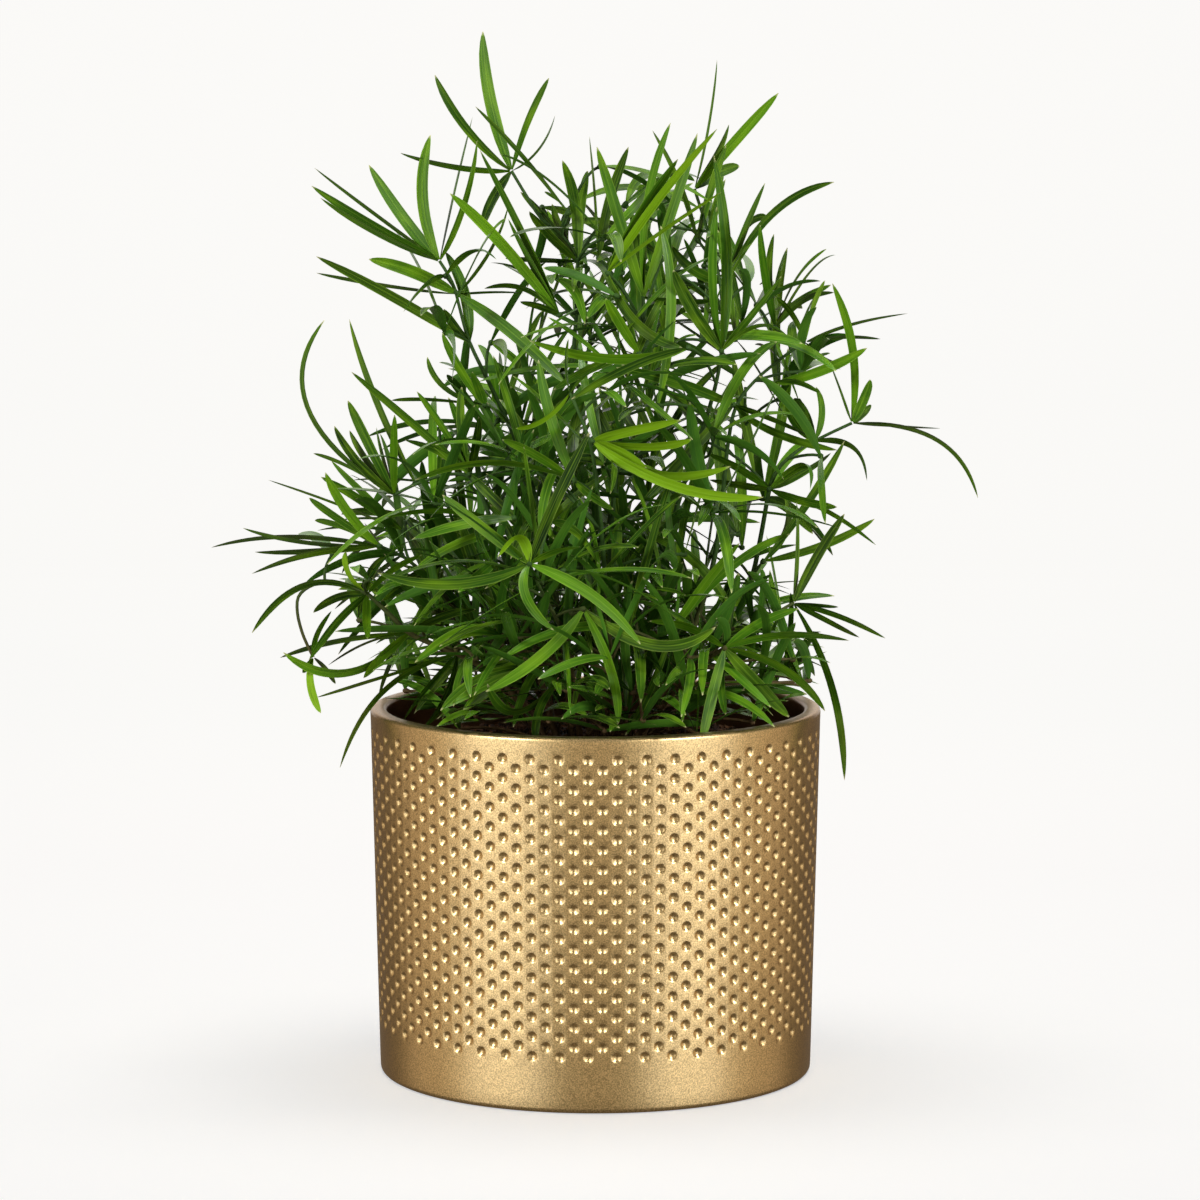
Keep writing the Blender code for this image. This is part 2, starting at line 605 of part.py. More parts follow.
def chosen_leaf(spot, tip, middle, shown, shift, tilt):
    # A leaf as the eye sees it. Shift moves it along the line of sight, and tilt turns it.
    base = seen(*spot)
    depth = spot[2] + tip[2] + shift
    end = seen(tip[0], tip[1], depth)
    mid = seen(middle[0], middle[1], spot[2] + 0.4 * (tip[2] + shift))
    width = max(LEAF_WIDTH if shown > 1.5 else 3.4, 1.05 * shown)
    away = math.acos(min(1.0, shown / width))
    eye = Vector((0, -EYE_BACK, EYE_HEIGHT)) - mid
    along = (end - base).normalized()
    face = (eye - along * eye.dot(along)).normalized()
    up_side = 1 if along.cross(face).z < 0 else -1
    return make_leaf(base, end, mid, width, Matrix.Rotation(up_side * away + tilt, 3, along) @ face)


def grow_chosen(thicket, owner, spot, tip, middle, shown):
    # The chosen leaf, bent along the line of sight until it is clear of the other stems.
    for strict in (True, False):
        for tilt in (0.0, 0.25, -0.25):
            for shift in (0, -3, 3, -6, 6, -9, 9, -13, 13, -18, 18, -24, 24):
                leaf = chosen_leaf(spot, tip, middle, shown, shift, tilt)
                if leaf_is_clear(thicket, owner, leaf, strict):
                    return leaf
    return None


def grow_plain(thicket, owner, spot, axis, turn, draw):
    # A leaf by rule: it leans out of the whorl's axis at this turn, and arches over a little.
    side = axis.orthogonal().normalized()
    for tries in range(14):
        lean = math.radians(draw.uniform(*PLAIN_LEAN))
        round_axis = Matrix.Rotation(turn + draw.uniform(-0.5, 0.5), 3, axis)
        way = math.cos(lean) * axis + math.sin(lean) * (round_axis @ side)
        length = draw.uniform(*LEAF_LENGTHS) * (1.0 if tries < 7 else PLAIN_SHORT)
        droop = draw.uniform(*PLAIN_DROOP) * length
        tip = spot + length * way - droop * Z_UP
        sway = way.cross(Z_UP).normalized() * draw.uniform(-PLAIN_SWAY, PLAIN_SWAY) * length
        middle = spot + 0.5 * length * way + 0.35 * droop * Z_UP + sway
        width = LEAF_WIDTH * draw.uniform(0.85, 1.1)
        roll = Matrix.Rotation(draw.gauss(0, PLAIN_ROLL), 3, way)
        face = roll @ (Z_UP - way * way.z + 0.02 * axis).normalized()
        leaf = make_leaf(spot, tip, middle, width, face)
        if in_crown(tip) and in_crown(middle) and leaf_is_clear(thicket, owner, leaf):
            return leaf
    return None


def grow_branch(thicket, owner, route, spot, draw):
    # The points of a thin branch from a whorl down to the stem, none if the whorl is on the stem.
    lower = [k for k, point in enumerate(route[:-1]) if point.z < spot.z + 2] or [0]
    start = min(lower, key=lambda k: (route[k] - spot).length + 0.35 * abs(spot.z - 22 - route[k].z))
    leave = route[start]
    if (leave - spot).length < HUB_RADIUS - 0.7 or (route[-1] - spot).length < HUB_RADIUS - 0.7:
        return []
    for tries in range(10):
        push = Vector([draw.uniform(-1, 1) for _ in range(3)]) * (1.6 * tries)
        lean = 0.08 * (spot - leave).length * (route[start + 1] - leave).normalized()
        middle = 0.5 * (leave + spot) + lean + push
        points = [spot, middle, leave]
        wide = tube(points, [0.5 * BRANCH_THICKNESS + CLEARANCE] * 3, 3)
        if not thicket.meets(owner, *wide) and all(clear_of_pot(p) for p in points[:2]):
            return points
    return None


def stem_route(name):
    plan = STEMS[name]
    foot_z = POT_HEIGHT - SOIL_BELOW_LIP - HOLE_DEPTH + HOLE_GAP + SOIL_MOUND
    x, y = plan["foot"]
    foot = Vector((x, y, foot_z))
    straight = Vector((x, y, POT_HEIGHT - SOIL_BELOW_LIP + SOIL_MOUND + 2))
    return [foot, *smooth_route([straight, *(seen(*place) for place in plan["route"])])]


def stem_radius(share):
    return 0.5 * (FOOT_THICKNESS + (TIP_THICKNESS - FOOT_THICKNESS) * min(1.0, 1.3 * share))


def stem_tube(route):
    count = len(route) - 1
    return tube(route, [stem_radius(k / count) for k in range(len(route))], 4)


def grow_plants():
    # Every stem's shapes, as a list of (verts, faces), the stem itself first.
    thicket = Thicket(Thicket())
    shapes = {name: [stem_tube(stem_route(name))] for name in STEMS}
    for name in STEMS:
        thicket.add(name, *shapes[name][0])
    for name, plan in STEMS.items():
        draw = random.Random(f"{name} {SEED}")
        route = stem_route(name)
        for place, leaves in plan["whorls"]:
            whorl = None
            for shift in (0, -3, 3, -6, 6, -9, 9):
                spot = (place[0], place[1], place[2] + shift)
                whorl = start_whorl(thicket, name, route, seen(*spot), draw)
                if whorl:
                    break
            if whorl is None:
                print("no room for a whorl of", name, "at", place)
                continue
            for tip, middle, shown in leaves:
                leaf = grow_chosen(thicket, name, spot, tip, middle, shown)
                if leaf is None:
                    print("no room for a leaf of", name, "to", tip)
                    continue
                add_leaf(thicket, name, whorl, leaf)
            shapes[name] += whorl.shapes()
    for name, plan in STEMS.items():
        draw = random.Random(f"{name} plain {SEED}")
        route = stem_route(name)
        for number in range(plan["plain"]):
            shapes[name] += grow_plain_whorl(thicket, name, route, number / plan["plain"], draw)
    return shapes


def start_whorl(thicket, name, route, spot, draw):
    hub = Whorl(spot, thicket, name)
    wide = [spot + (1 + CLEARANCE / HUB_RADIUS) * (vert - spot) for vert in hub.verts]
    if thicket.meets(name, wide, hub.faces):
        return None
    branch = grow_branch(thicket, name, route, spot, draw)
    if branch is None:
        return None
    thicket.add(name, hub.verts, hub.faces)
    if branch:
        hub.add_branch(branch)
        thicket.add(name, *tube(branch, [0.5 * BRANCH_THICKNESS] * 3, 3))
    return hub


def grow_plain_whorl(thicket, name, route, share, draw):
    # A branch and a whorl of leaves by rule, that far up the stem.
    whorl = None
    for tries in range(20):
        at = min(len(route) - 2, round((0.12 + 0.88 * share) * (len(route) - 1)))
        turn = draw.uniform(0, 2 * math.pi)
        out = Vector((math.cos(turn), math.sin(turn), 0))
        spot = route[at] + draw.uniform(*WHORL_REACH) * (out + draw.uniform(0.2, 0.9) * Z_UP).normalized()
        if in_crown(spot) and clear_of_pot(spot, 6):
            whorl = start_whorl(thicket, name, route, spot, draw)
        if whorl:
            break
    else:
        print("no room for a plain whorl of", name)
        return []
    axis = (0.5 * out + Vector((spot.x, spot.y, 0)) * 0.012 + 0.7 * Z_UP).normalized()
    count = draw.choice((5, 6, 6, 7))
    for k in range(count):
        leaf = grow_plain(thicket, name, spot, axis, 2 * math.pi * k / count, draw)
        if leaf:
            add_leaf(thicket, name, whorl, leaf)
    return whorl.shapes()


def material(name, colour, roughness, metallic=0.0):
    made = bpy.data.materials.new(name)
    made.use_nodes = True
    shader = made.node_tree.nodes["Principled BSDF"]
    shader.inputs["Base Color"].default_value = (*colour, 1.0)
    shader.inputs["Roughness"].default_value = roughness
    shader.inputs["Metallic"].default_value = metallic
    return made


def mesh_object(name, verts, faces, look=None):
    mesh = bpy.data.meshes.new(name)
    mesh.from_pydata([tuple(MM * c for c in v) for v in verts], [], faces)
    made = bpy.data.objects.new(name, mesh)
    bpy.context.scene.collection.objects.link(made)
    if look:
        mesh.materials.append(look)
    return made


def apply_modifiers(made):
    graph = bpy.context.evaluated_depsgraph_get()
    mesh = bpy.data.meshes.new_from_object(made.evaluated_get(graph))
    made.modifiers.clear()
    made.data = mesh


def fused(name, shapes, look):
    # The first shape, united with all the others by one Boolean on a collection.
    made = mesh_object(name, *shapes[0], look)
    others = bpy.data.collections.new(f"{name} pieces")
    bpy.context.scene.collection.children.link(others)
    for k, shape in enumerate(shapes[1:]):
        piece = mesh_object(f"{name} piece {k}", *shape)
        bpy.context.scene.collection.objects.unlink(piece)
        others.objects.link(piece)
    union = made.modifiers.new("Leaves", "BOOLEAN")
    union.operation = "UNION"
    union.operand_type = "COLLECTION"
    union.collection = others
    union.solver = "MANIFOLD"
    apply_modifiers(made)
    for piece in list(others.objects):
        bpy.data.objects.remove(piece)
    bpy.data.collections.remove(others)
    return made


def ring(bm, radius, z, pushed=None):
    verts = []
    for k in range(PIT_COLUMNS):
        turn = 2 * math.pi * k / PIT_COLUMNS
        r = radius - (PIT_DEPTH if pushed is not None and (k + pushed) % 2 == 0 else 0)
        verts.append(bm.verts.new((MM * r * math.cos(turn), MM * r * math.sin(turn), MM * z)))
    return verts


def join_rings(bm, low, high, pushed=None):
    # Quads between two rings. Among pits each quad is split along its two unpushed corners.
    count = len(low)
    for k in range(count):
        n = (k + 1) % count
        if pushed is None:
            bm.faces.new((low[k], low[n], high[n], high[k]))
        elif (k + pushed) % 2 == 0:
            bm.faces.new((low[k], low[n], high[k]))
            bm.faces.new((low[n], high[n], high[k]))
        else:
            bm.faces.new((low[k], low[n], high[n]))
            bm.faces.new((low[k], high[n], high[k]))


def make_pot(look):
    bm = bmesh.new()
    rings = []
    for k in range(4):
        turn = k / 3 * math.pi / 2
        radius = outer_radius(0) - FOOT_ROUND + FOOT_ROUND * math.sin(turn)
        rings.append(ring(bm, radius, FOOT_ROUND * (1 - math.cos(turn))))
    bm.faces.new(list(reversed(rings[0])))
    rings.append(ring(bm, outer_radius(PIT_LOW - PLAIN_BAND), PIT_LOW - PLAIN_BAND))
    for low, high in zip(rings, rings[1:]):
        join_rings(bm, low, high)
    below = rings[-1]
    for row in range(PIT_ROWS):
        z = PIT_LOW + (PIT_HIGH - PIT_LOW) * row / (PIT_ROWS - 1)
        above = ring(bm, outer_radius(z), z, pushed=row)
        join_rings(bm, below, above, pushed=row - 1)
        below = above
    above = ring(bm, outer_radius(PIT_HIGH + PLAIN_BAND), PIT_HIGH + PLAIN_BAND)
    join_rings(bm, below, above, pushed=PIT_ROWS - 1)
    inner = POT_RIM_RADIUS - POT_WALL
    foot_inner = POT_FOOT_RADIUS - POT_WALL
    profile = (
        (POT_RIM_RADIUS, POT_HEIGHT - LIP_ROUND),
        (POT_RIM_RADIUS - 0.3 * LIP_ROUND, POT_HEIGHT - 0.3 * LIP_ROUND),
        (POT_RIM_RADIUS - LIP_ROUND, POT_HEIGHT),
        (inner + LIP_ROUND, POT_HEIGHT),
        (inner + 0.3 * LIP_ROUND, POT_HEIGHT - 0.3 * LIP_ROUND),
        (inner, POT_HEIGHT - LIP_ROUND),
        (foot_inner, POT_FLOOR),
    )
    rings = [above, *(ring(bm, radius, z) for radius, z in profile)]
    for low, high in zip(rings, rings[1:]):
        join_rings(bm, low, high)
    bm.faces.new(rings[-1])
    mesh = bpy.data.meshes.new("pot")
    bm.to_mesh(mesh)
    bm.free()
    mesh.materials.append(look)
    pot = bpy.data.objects.new("pot", mesh)
    bpy.context.scene.collection.objects.link(pot)
    return pot


def make_soil(look):
    # One body that fills the pot, mounded a little, with a plain hole for each stem.
    top = POT_HEIGHT - SOIL_BELOW_LIP
    taper = (POT_RIM_RADIUS - POT_FOOT_RADIUS) / POT_HEIGHT
    edge = POT_FOOT_RADIUS - POT_WALL + taper * top - WALL_GAP
    foot = POT_FOOT_RADIUS - POT_WALL - FOOT_GAP
    rows = [(foot, POT_FLOOR + FLOOR_GAP), (edge, top), *((share * edge, top) for share in SOIL_RINGS)]
    count = SOIL_SIDES
    verts, faces = [], []
    for number, (radius, z) in enumerate(rows):
        for k in range(count):
            turn = 2 * math.pi * k / count
            lump = SOIL_LUMPS[0] * math.sin(5 * turn + number)
            lump += SOIL_LUMPS[1] * math.sin(3 * turn - 2 * number)
            high = z + (number - 1) / 2 * SOIL_MOUND + lump if number > 1 else z
            verts.append((radius * math.cos(turn), radius * math.sin(turn), high))
    for number in range(len(rows) - 1):
        for k in range(count):
            a, b = number * count + k, number * count + (k + 1) % count
            faces += [(a, b, b + count), (a, b + count, a + count)]
    faces.append(tuple(reversed(range(count))))
    verts.append((0, 0, top + SOIL_MOUND))
    last = (len(rows) - 1) * count
    faces += [(last + k, last + (k + 1) % count, len(verts) - 1) for k in range(count)]
    soil = mesh_object("soil", verts, faces, look)
    holes = bpy.data.collections.new("stem holes")
    bpy.context.scene.collection.children.link(holes)
    for name, plan in STEMS.items():
        x, y = plan["foot"]
        low = POT_HEIGHT - SOIL_BELOW_LIP - HOLE_DEPTH + SOIL_MOUND
        ends = [Vector((x, y, low)), Vector((x, y, low + HOLE_DEPTH + 10))]
        hole = mesh_object(f"hole for {name}", *tube(ends, [0.5 * FOOT_THICKNESS + HOLE_GAP] * 2, 8))
        bpy.context.scene.collection.objects.unlink(hole)
        holes.objects.link(hole)
        hole.hide_render = True
        hole.display_type = "WIRE"
    cut = soil.modifiers.new("Stem holes", "BOOLEAN")
    cut.operation = "DIFFERENCE"
    cut.operand_type = "COLLECTION"
    cut.collection = holes
    apply_modifiers(soil)
    for hole in list(holes.objects):
        bpy.data.objects.remove(hole)
    bpy.data.collections.remove(holes)
    return soil


def main():
    for old in list(bpy.data.objects):
        bpy.data.objects.remove(old)
    gold = material("Gold glaze", (0.45, 0.28, 0.09), 0.35, 1.0)
    earth = material("Potting mix", (0.035, 0.02, 0.012), 0.95)
    green = material("Asparagus leaf", (0.05, 0.17, 0.02), 0.45)
    pot = make_pot(gold)
    pot.data.shade_smooth()
    pot.data.set_sharp_from_angle(angle=math.radians(30))
    make_soil(earth)
    for name, shapes in grow_plants().items():
        fused(name, shapes, green)


main()
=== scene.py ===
# Potted asparagus fern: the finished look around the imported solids.
# Plant sizes are in millimetres, and every mesh is written in metres.

import math
import random

import bmesh
import bpy
import numpy as np
from mathutils import Matrix, Vector, noise
from mathutils.bvhtree import BVHTree


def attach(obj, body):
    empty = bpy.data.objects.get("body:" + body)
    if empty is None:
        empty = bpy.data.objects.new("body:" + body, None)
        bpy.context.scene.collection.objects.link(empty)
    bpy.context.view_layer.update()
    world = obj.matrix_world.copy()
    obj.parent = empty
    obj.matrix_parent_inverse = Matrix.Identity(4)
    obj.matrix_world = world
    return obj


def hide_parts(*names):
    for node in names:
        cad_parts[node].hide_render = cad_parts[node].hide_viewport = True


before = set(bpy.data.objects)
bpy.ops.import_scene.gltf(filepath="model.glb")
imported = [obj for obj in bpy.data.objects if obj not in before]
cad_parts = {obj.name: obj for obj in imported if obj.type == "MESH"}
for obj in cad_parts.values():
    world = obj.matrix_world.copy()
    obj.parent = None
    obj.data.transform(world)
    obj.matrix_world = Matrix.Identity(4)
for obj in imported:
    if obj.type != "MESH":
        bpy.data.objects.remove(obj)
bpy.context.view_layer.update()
mm = 0.001
zUp = Vector((0, 0, 1))


def stage(words):
    print("potted fern:", words)


def linear(hexColour):
    # an sRGB hex colour as the shader's linear values
    parts = [int(hexColour[k:k + 2], 16) / 255 for k in (1, 3, 5)]
    return (*(p / 12.92 if p <= 0.04045 else ((p + 0.055) / 1.055) ** 2.4 for p in parts), 1.0)


def setNode(tree, node, settings):
    # A key with a small first letter is a setting of the node itself, and those come first. Any other
    # key or number is an input. It takes a value, a hex colour, a socket, or a node, whose first output
    # then feeds it, or a list of those.
    for key, value in settings.items():
        if isinstance(key, str) and key[0].islower():
            setattr(node, key, value)
            continue
        for source in value if isinstance(value, list) else [value]:
            if isinstance(source, bpy.types.Node):
                source = source.outputs[0]
            if isinstance(source, bpy.types.NodeSocket):
                tree.links.new(source, node.inputs[key])
            else:
                isColour = isinstance(source, str) and source[0] == "#"
                node.inputs[key].default_value = linear(source) if isColour else source


def addNode(tree, kind, settings={}):
    node = tree.nodes.new(kind)
    setNode(tree, node, settings)
    return node


def newMaterial(name):
    made = bpy.data.materials.new(name)
    made.use_nodes = True
    return made, made.node_tree, made.node_tree.nodes["Principled BSDF"]


def tinted(tree, colour, layers):
    # Lays colours over one another. Each layer has what drives it, the values at which it starts and
    # is full, how much it then covers, and its colour.
    for driver, start, full, most, layer in layers:
        share = addNode(tree, "ShaderNodeMapRange", {
            "From Min": start, "From Max": full, "To Max": most, "Value": driver})
        colour = addNode(tree, "ShaderNodeMix", {
            "data_type": "RGBA", 0: share, 6: colour, 7: layer}).outputs[2]
    return colour


def newObject(name, mesh):
    made = bpy.data.objects.new(name, mesh)
    bpy.context.scene.collection.objects.link(made)
    return made


def newTree(name, inputs):
    # a Geometry Nodes tree with its named inputs
    tree = bpy.data.node_groups.new(name, "GeometryNodeTree")
    tree.is_modifier = True
    for label, kind, value in (("Geometry", "Geometry", None), *inputs):
        socket = tree.interface.new_socket(label, in_out="INPUT", socket_type="NodeSocket" + kind)
        if value is not None:
            socket.default_value = value
    tree.interface.new_socket("Geometry", in_out="OUTPUT", socket_type="NodeSocketGeometry")
    return tree, addNode(tree, "NodeGroupInput").outputs


def grown(made, tree, values):
    # Runs the tree on the object with these inputs, and makes the result its plain mesh.
    modifier = made.modifiers.new(tree.name, "NODES")
    modifier.node_group = tree
    sockets = {item.name: item.identifier for item in tree.interface.items_tree
               if item.item_type == "SOCKET" and item.in_out == "INPUT"}
    for label, value in values.items():
        modifier[sockets[label]] = value
    graph = bpy.context.evaluated_depsgraph_get()
    mesh = bpy.data.meshes.new_from_object(made.evaluated_get(graph))
    made.modifiers.clear()
    made.data = mesh
    return made


def finished(made, slot, *nodes):
    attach(made, "root")
    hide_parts(*nodes)


# The camera: the photograph's eye, level with the crown's top and looking down a little.
eye = {
    "back": 1505.2,
    "height": 334.5,
    "dip": 0.122,
    "span": 1518.8,
    "level": 163.07,
    "focalPixels": 4556.5,
    "frame": 1200,
    "shiftX": 0.0038,
    "shiftY": 0.0198,
}


def makeCamera():
    lens = bpy.data.cameras.new("camera")
    lens.sensor_width = 36
    lens.lens = eye["focalPixels"] / eye["frame"] * lens.sensor_width
    lens.shift_x = eye["shiftX"]
    lens.shift_y = eye["shiftY"]
    camera = newObject("camera", lens)
    camera.location = (0, -mm * eye["back"], mm * eye["height"])
    camera.rotation_euler = (math.pi / 2 - eye["dip"], 0, 0)
    bpy.context.scene.camera = camera


makeCamera()
stage("camera placed")


def meshOf(bm, name):
    mesh = bpy.data.meshes.new(name)
    bm.to_mesh(mesh)
    bm.free()
    return mesh


def ringOf(bm, radius, height, sides):
    turns = [2 * math.pi * k / sides for k in range(sides)]
    return [bm.verts.new((radius * math.cos(turn), radius * math.sin(turn), height)) for turn in turns]


def joinRings(bm, first, second):
    for corners in zip(first, first[1:] + first[:1], second[1:] + second[:1], second):
        bm.faces.new(corners)


def closeRing(bm, ring, height):
    middle = bm.verts.new((0, 0, height))
    for a, b in zip(ring, ring[1:] + ring[:1]):
        bm.faces.new((a, b, middle))


# The pot: a straight cylinder that narrows a little to its foot, with rows of pressed pits.
potPlan = {
    "height": 122.5,
    "rimRadius": 75.0,
    "footRadius": 72.2,
    "wall": 5.5,
    "floor": 7.0,
    "footRound": 1.8,
    "lipRound": 1.4,
    "pitColumns": 100,
    "pitRows": 16,
    "pitLow": 18.5,
    "pitHigh": 115.2,
    "pitRings": ((1.95, 0.0), (1.66, -0.06), (1.28, -0.36), (0.66, -0.72)),  # radius and height
    "pitDepth": 0.86,
    # the plain rings: heights below the pits, radii under the foot, and on the inside how far in from
    # the wall and how far below the lip or above the ground
    "lowRings": (12, 9, 6),
    "underRings": (60, 40, 18),
    "upperInside": ((0.15, 6), (0.3, 12), (0.8, 30)),
    "lowerInside": ((-0.5, 40), (0.2, 11)),
    "floorInset": 3.5,
    "floorRing": 35,
    "goldDark": "#A38954",
    "goldLight": "#E3C487",
    "goldEdge": "#BC8E47",  # how the metal looks where it turns away
    "insideBronze": "#6B4A2C",
    "roughness": 0.36,
    "coat": 1.0,
    "coatRoughness": 0.3,
}


def outerRadius(z):
    return potPlan["footRadius"] + (potPlan["rimRadius"] - potPlan["footRadius"]) * z / potPlan["height"]


def pitTile(width, height):
    # One flat tile with a pit, whose border meets a neighbour that is half a tile higher.
    bm = bmesh.new()
    border = ((0.5, 0), (0.5, 0.25), (0.5, 0.5), (0, 0.5), (-0.5, 0.5), (-0.5, 0.25),
              (-0.5, 0), (-0.5, -0.25), (-0.5, -0.5), (0, -0.5), (0.5, -0.5), (0.5, -0.25))
    last = [bm.verts.new((width * x, height * y, 0)) for x, y in border]
    for radius, rise in potPlan["pitRings"]:
        ring = ringOf(bm, radius, rise, len(border))
        joinRings(bm, last, ring)
        last = ring
    closeRing(bm, last, -potPlan["pitDepth"])
    return meshOf(bm, "pit tile")


def pitTree():
    # Lays tiles in pairs of columns, the second half a tile off the first with a plain half tile at
    # each end, and bends the sheet round the wall.
    tree, given = newTree("pits round the wall", (
        ("Tile width", "Float", 1.0), ("Tile height", "Float", 1.0), ("Pairs of columns", "Int", 1),
        ("Rows", "Int", 1), ("Low edge", "Float", 0.0), ("Foot radius", "Float", 1.0),
        ("Taper", "Float", 0.0), ("Finish", "Material", None)))
    place = addNode(tree, "ShaderNodeSeparateXYZ", {0: addNode(tree, "GeometryNodeInputPosition")})
    sums = {output.name: output for output in (*given, *place.outputs)}
    for name, operation, a, b in (
            ("half width", "MULTIPLY", "Tile width", 0.5), ("half height", "MULTIPLY", "Tile height", 0.5),
            ("second across", "MULTIPLY", "Tile width", 1.5), ("fewer rows", "SUBTRACT", "Rows", 1.0),
            ("filler up", "MULTIPLY", "Tile height", 0.25), ("filler steps", "SUBTRACT", "Rows", 0.5),
            ("filler gap", "MULTIPLY", "Tile height", "filler steps"),
            ("pair width", "MULTIPLY", "Tile width", 2.0),
            ("way round", "MULTIPLY", "pair width", "Pairs of columns"),
            ("share", "DIVIDE", "X", "way round"), ("turn", "MULTIPLY", "share", 2 * math.pi),
            ("up", "ADD", "Y", "Low edge"), ("wider", "MULTIPLY", "up", "Taper"),
            ("wall", "ADD", "Foot radius", "wider"), ("radius", "ADD", "wall", "Z")):
        sums[name] = addNode(tree, "ShaderNodeMath", {
            "operation": operation, 0: sums.get(a, a), 1: sums.get(b, b)})
    filler = addNode(tree, "GeometryNodeMeshGrid", {
        "Vertices X": 3, "Vertices Y": 3, "Size X": sums["Tile width"], "Size Y": sums["half height"]})
    columns = []
    for tile, count, across, up, step in (
            (given["Geometry"], "Rows", "half width", "half height", "Tile height"),
            (given["Geometry"], "fewer rows", "second across", "Tile height", "Tile height"),
            (filler, 2, "second across", "filler up", "filler gap")):
        start = addNode(tree, "ShaderNodeCombineXYZ", {0: sums[across], 1: sums[up]})
        offset = addNode(tree, "ShaderNodeCombineXYZ", {1: sums[step]})
        line = addNode(tree, "GeometryNodeMeshLine", {
            "Count": sums.get(count, count), "Start Location": start, "Offset": offset})
        columns.append(addNode(tree, "GeometryNodeInstanceOnPoints", {"Points": line, "Instance": tile}))
    pair = addNode(tree, "GeometryNodeJoinGeometry", {0: columns})
    offset = addNode(tree, "ShaderNodeCombineXYZ", {0: sums["pair width"]})
    line = addNode(tree, "GeometryNodeMeshLine", {"Count": sums["Pairs of columns"], "Offset": offset})
    sheet = addNode(tree, "GeometryNodeInstanceOnPoints", {"Points": line, "Instance": pair})
    real = addNode(tree, "GeometryNodeRealizeInstances", {0: sheet})
    spoke = addNode(tree, "ShaderNodeCombineXYZ", {0: sums["radius"], 2: sums["up"]})
    bent = addNode(tree, "ShaderNodeVectorRotate", {
        "rotation_type": "Z_AXIS", "Vector": spoke, "Angle": sums["turn"]})
    wrapped = addNode(tree, "GeometryNodeSetPosition", {0: real, "Position": bent})
    joined = addNode(tree, "GeometryNodeMergeByDistance", {"Distance": 2e-5, 0: wrapped})
    coated = addNode(tree, "GeometryNodeSetMaterial", {0: joined, "Material": given["Finish"]})
    addNode(tree, "NodeGroupOutput", {0: coated})
    return tree


def potShell(bm, sides, lowEdge, highEdge):
    # Every ring of the pot but the pitted band, as radius and height: the wall's foot and underside
    # below the band, and the lip, the inside and the floor above it.
    plan = potPlan
    rim, foot, top = plan["rimRadius"], plan["footRadius"], plan["height"]
    inner, innerFoot = rim - plan["wall"], foot - plan["wall"]
    curl = [(1 - math.cos(math.pi / 10 * k), 1 - math.sin(math.pi / 10 * k)) for k in range(6)]
    below = [(outerRadius(z), z) for z in (lowEdge, *plan["lowRings"])]
    below += [(foot - plan["footRound"] * a, plan["footRound"] * b) for a, b in curl]
    below += [(radius, 0) for radius in plan["underRings"]]
    above = [(outerRadius(highEdge), highEdge)]
    above += [(rim - plan["lipRound"] * a, top - plan["lipRound"] * b) for a, b in curl]
    above += [(inner + plan["lipRound"] * b, top - plan["lipRound"] * a) for a, b in curl]
    above += [(inner - inset, top - drop) for inset, drop in plan["upperInside"]]
    above += [(innerFoot - inset, z) for inset, z in plan["lowerInside"]]
    above += [(innerFoot - plan["floorInset"], plan["floor"]), (plan["floorRing"], plan["floor"])]
    for profile, closes in ((below, 0), (above, plan["floor"])):
        rings = [ringOf(bm, mm * radius, mm * z, sides) for radius, z in profile]
        for first, second in zip(rings, rings[1:]):
            joinRings(bm, first, second)
        closeRing(bm, rings[-1], mm * closes)


def goldFinish():
    # Stoneware sprayed with gold lacquer and left satin: a warm metal under a thin clear coat, which
    # pales its highlights, with a fine sandy sparkle. Its grain is drawn a little coarser than it is.
    # Inside, the lacquer is thin and dark like bronze.
    plan = potPlan
    made, tree, shader = newMaterial("Satin gold lacquer")
    place = addNode(tree, "ShaderNodeTexCoord").outputs["Object"]
    grain = addNode(tree, "ShaderNodeTexNoise", {"Scale": 2300.0, "Detail": 2.0, "Vector": place})
    gold = tinted(tree, plan["goldDark"], [(grain, 0.36, 0.64, 1.0, plan["goldLight"])])
    flat = addNode(tree, "ShaderNodeVectorMath", {"operation": "MULTIPLY", 0: place, 1: (1, 1, 0)})
    reach = addNode(tree, "ShaderNodeVectorMath", {"operation": "LENGTH", 0: flat}).outputs["Value"]
    inside, outside = (mm * (plan["footRadius"] - depth) for depth in (3.2, 1.2))
    setNode(tree, shader, {
        "Base Color": tinted(tree, plan["insideBronze"], [(reach, inside, outside, 1.0, gold)]),
        "Normal": addNode(tree, "ShaderNodeBump", {"Strength": 0.3, "Distance": 0.0002, "Height": grain}),
        "Metallic": 1.0, "Roughness": plan["roughness"], "Coat Weight": plan["coat"],
        "Coat Roughness": plan["coatRoughness"], "Coat IOR": 1.6, "Specular Tint": plan["goldEdge"]})
    return made


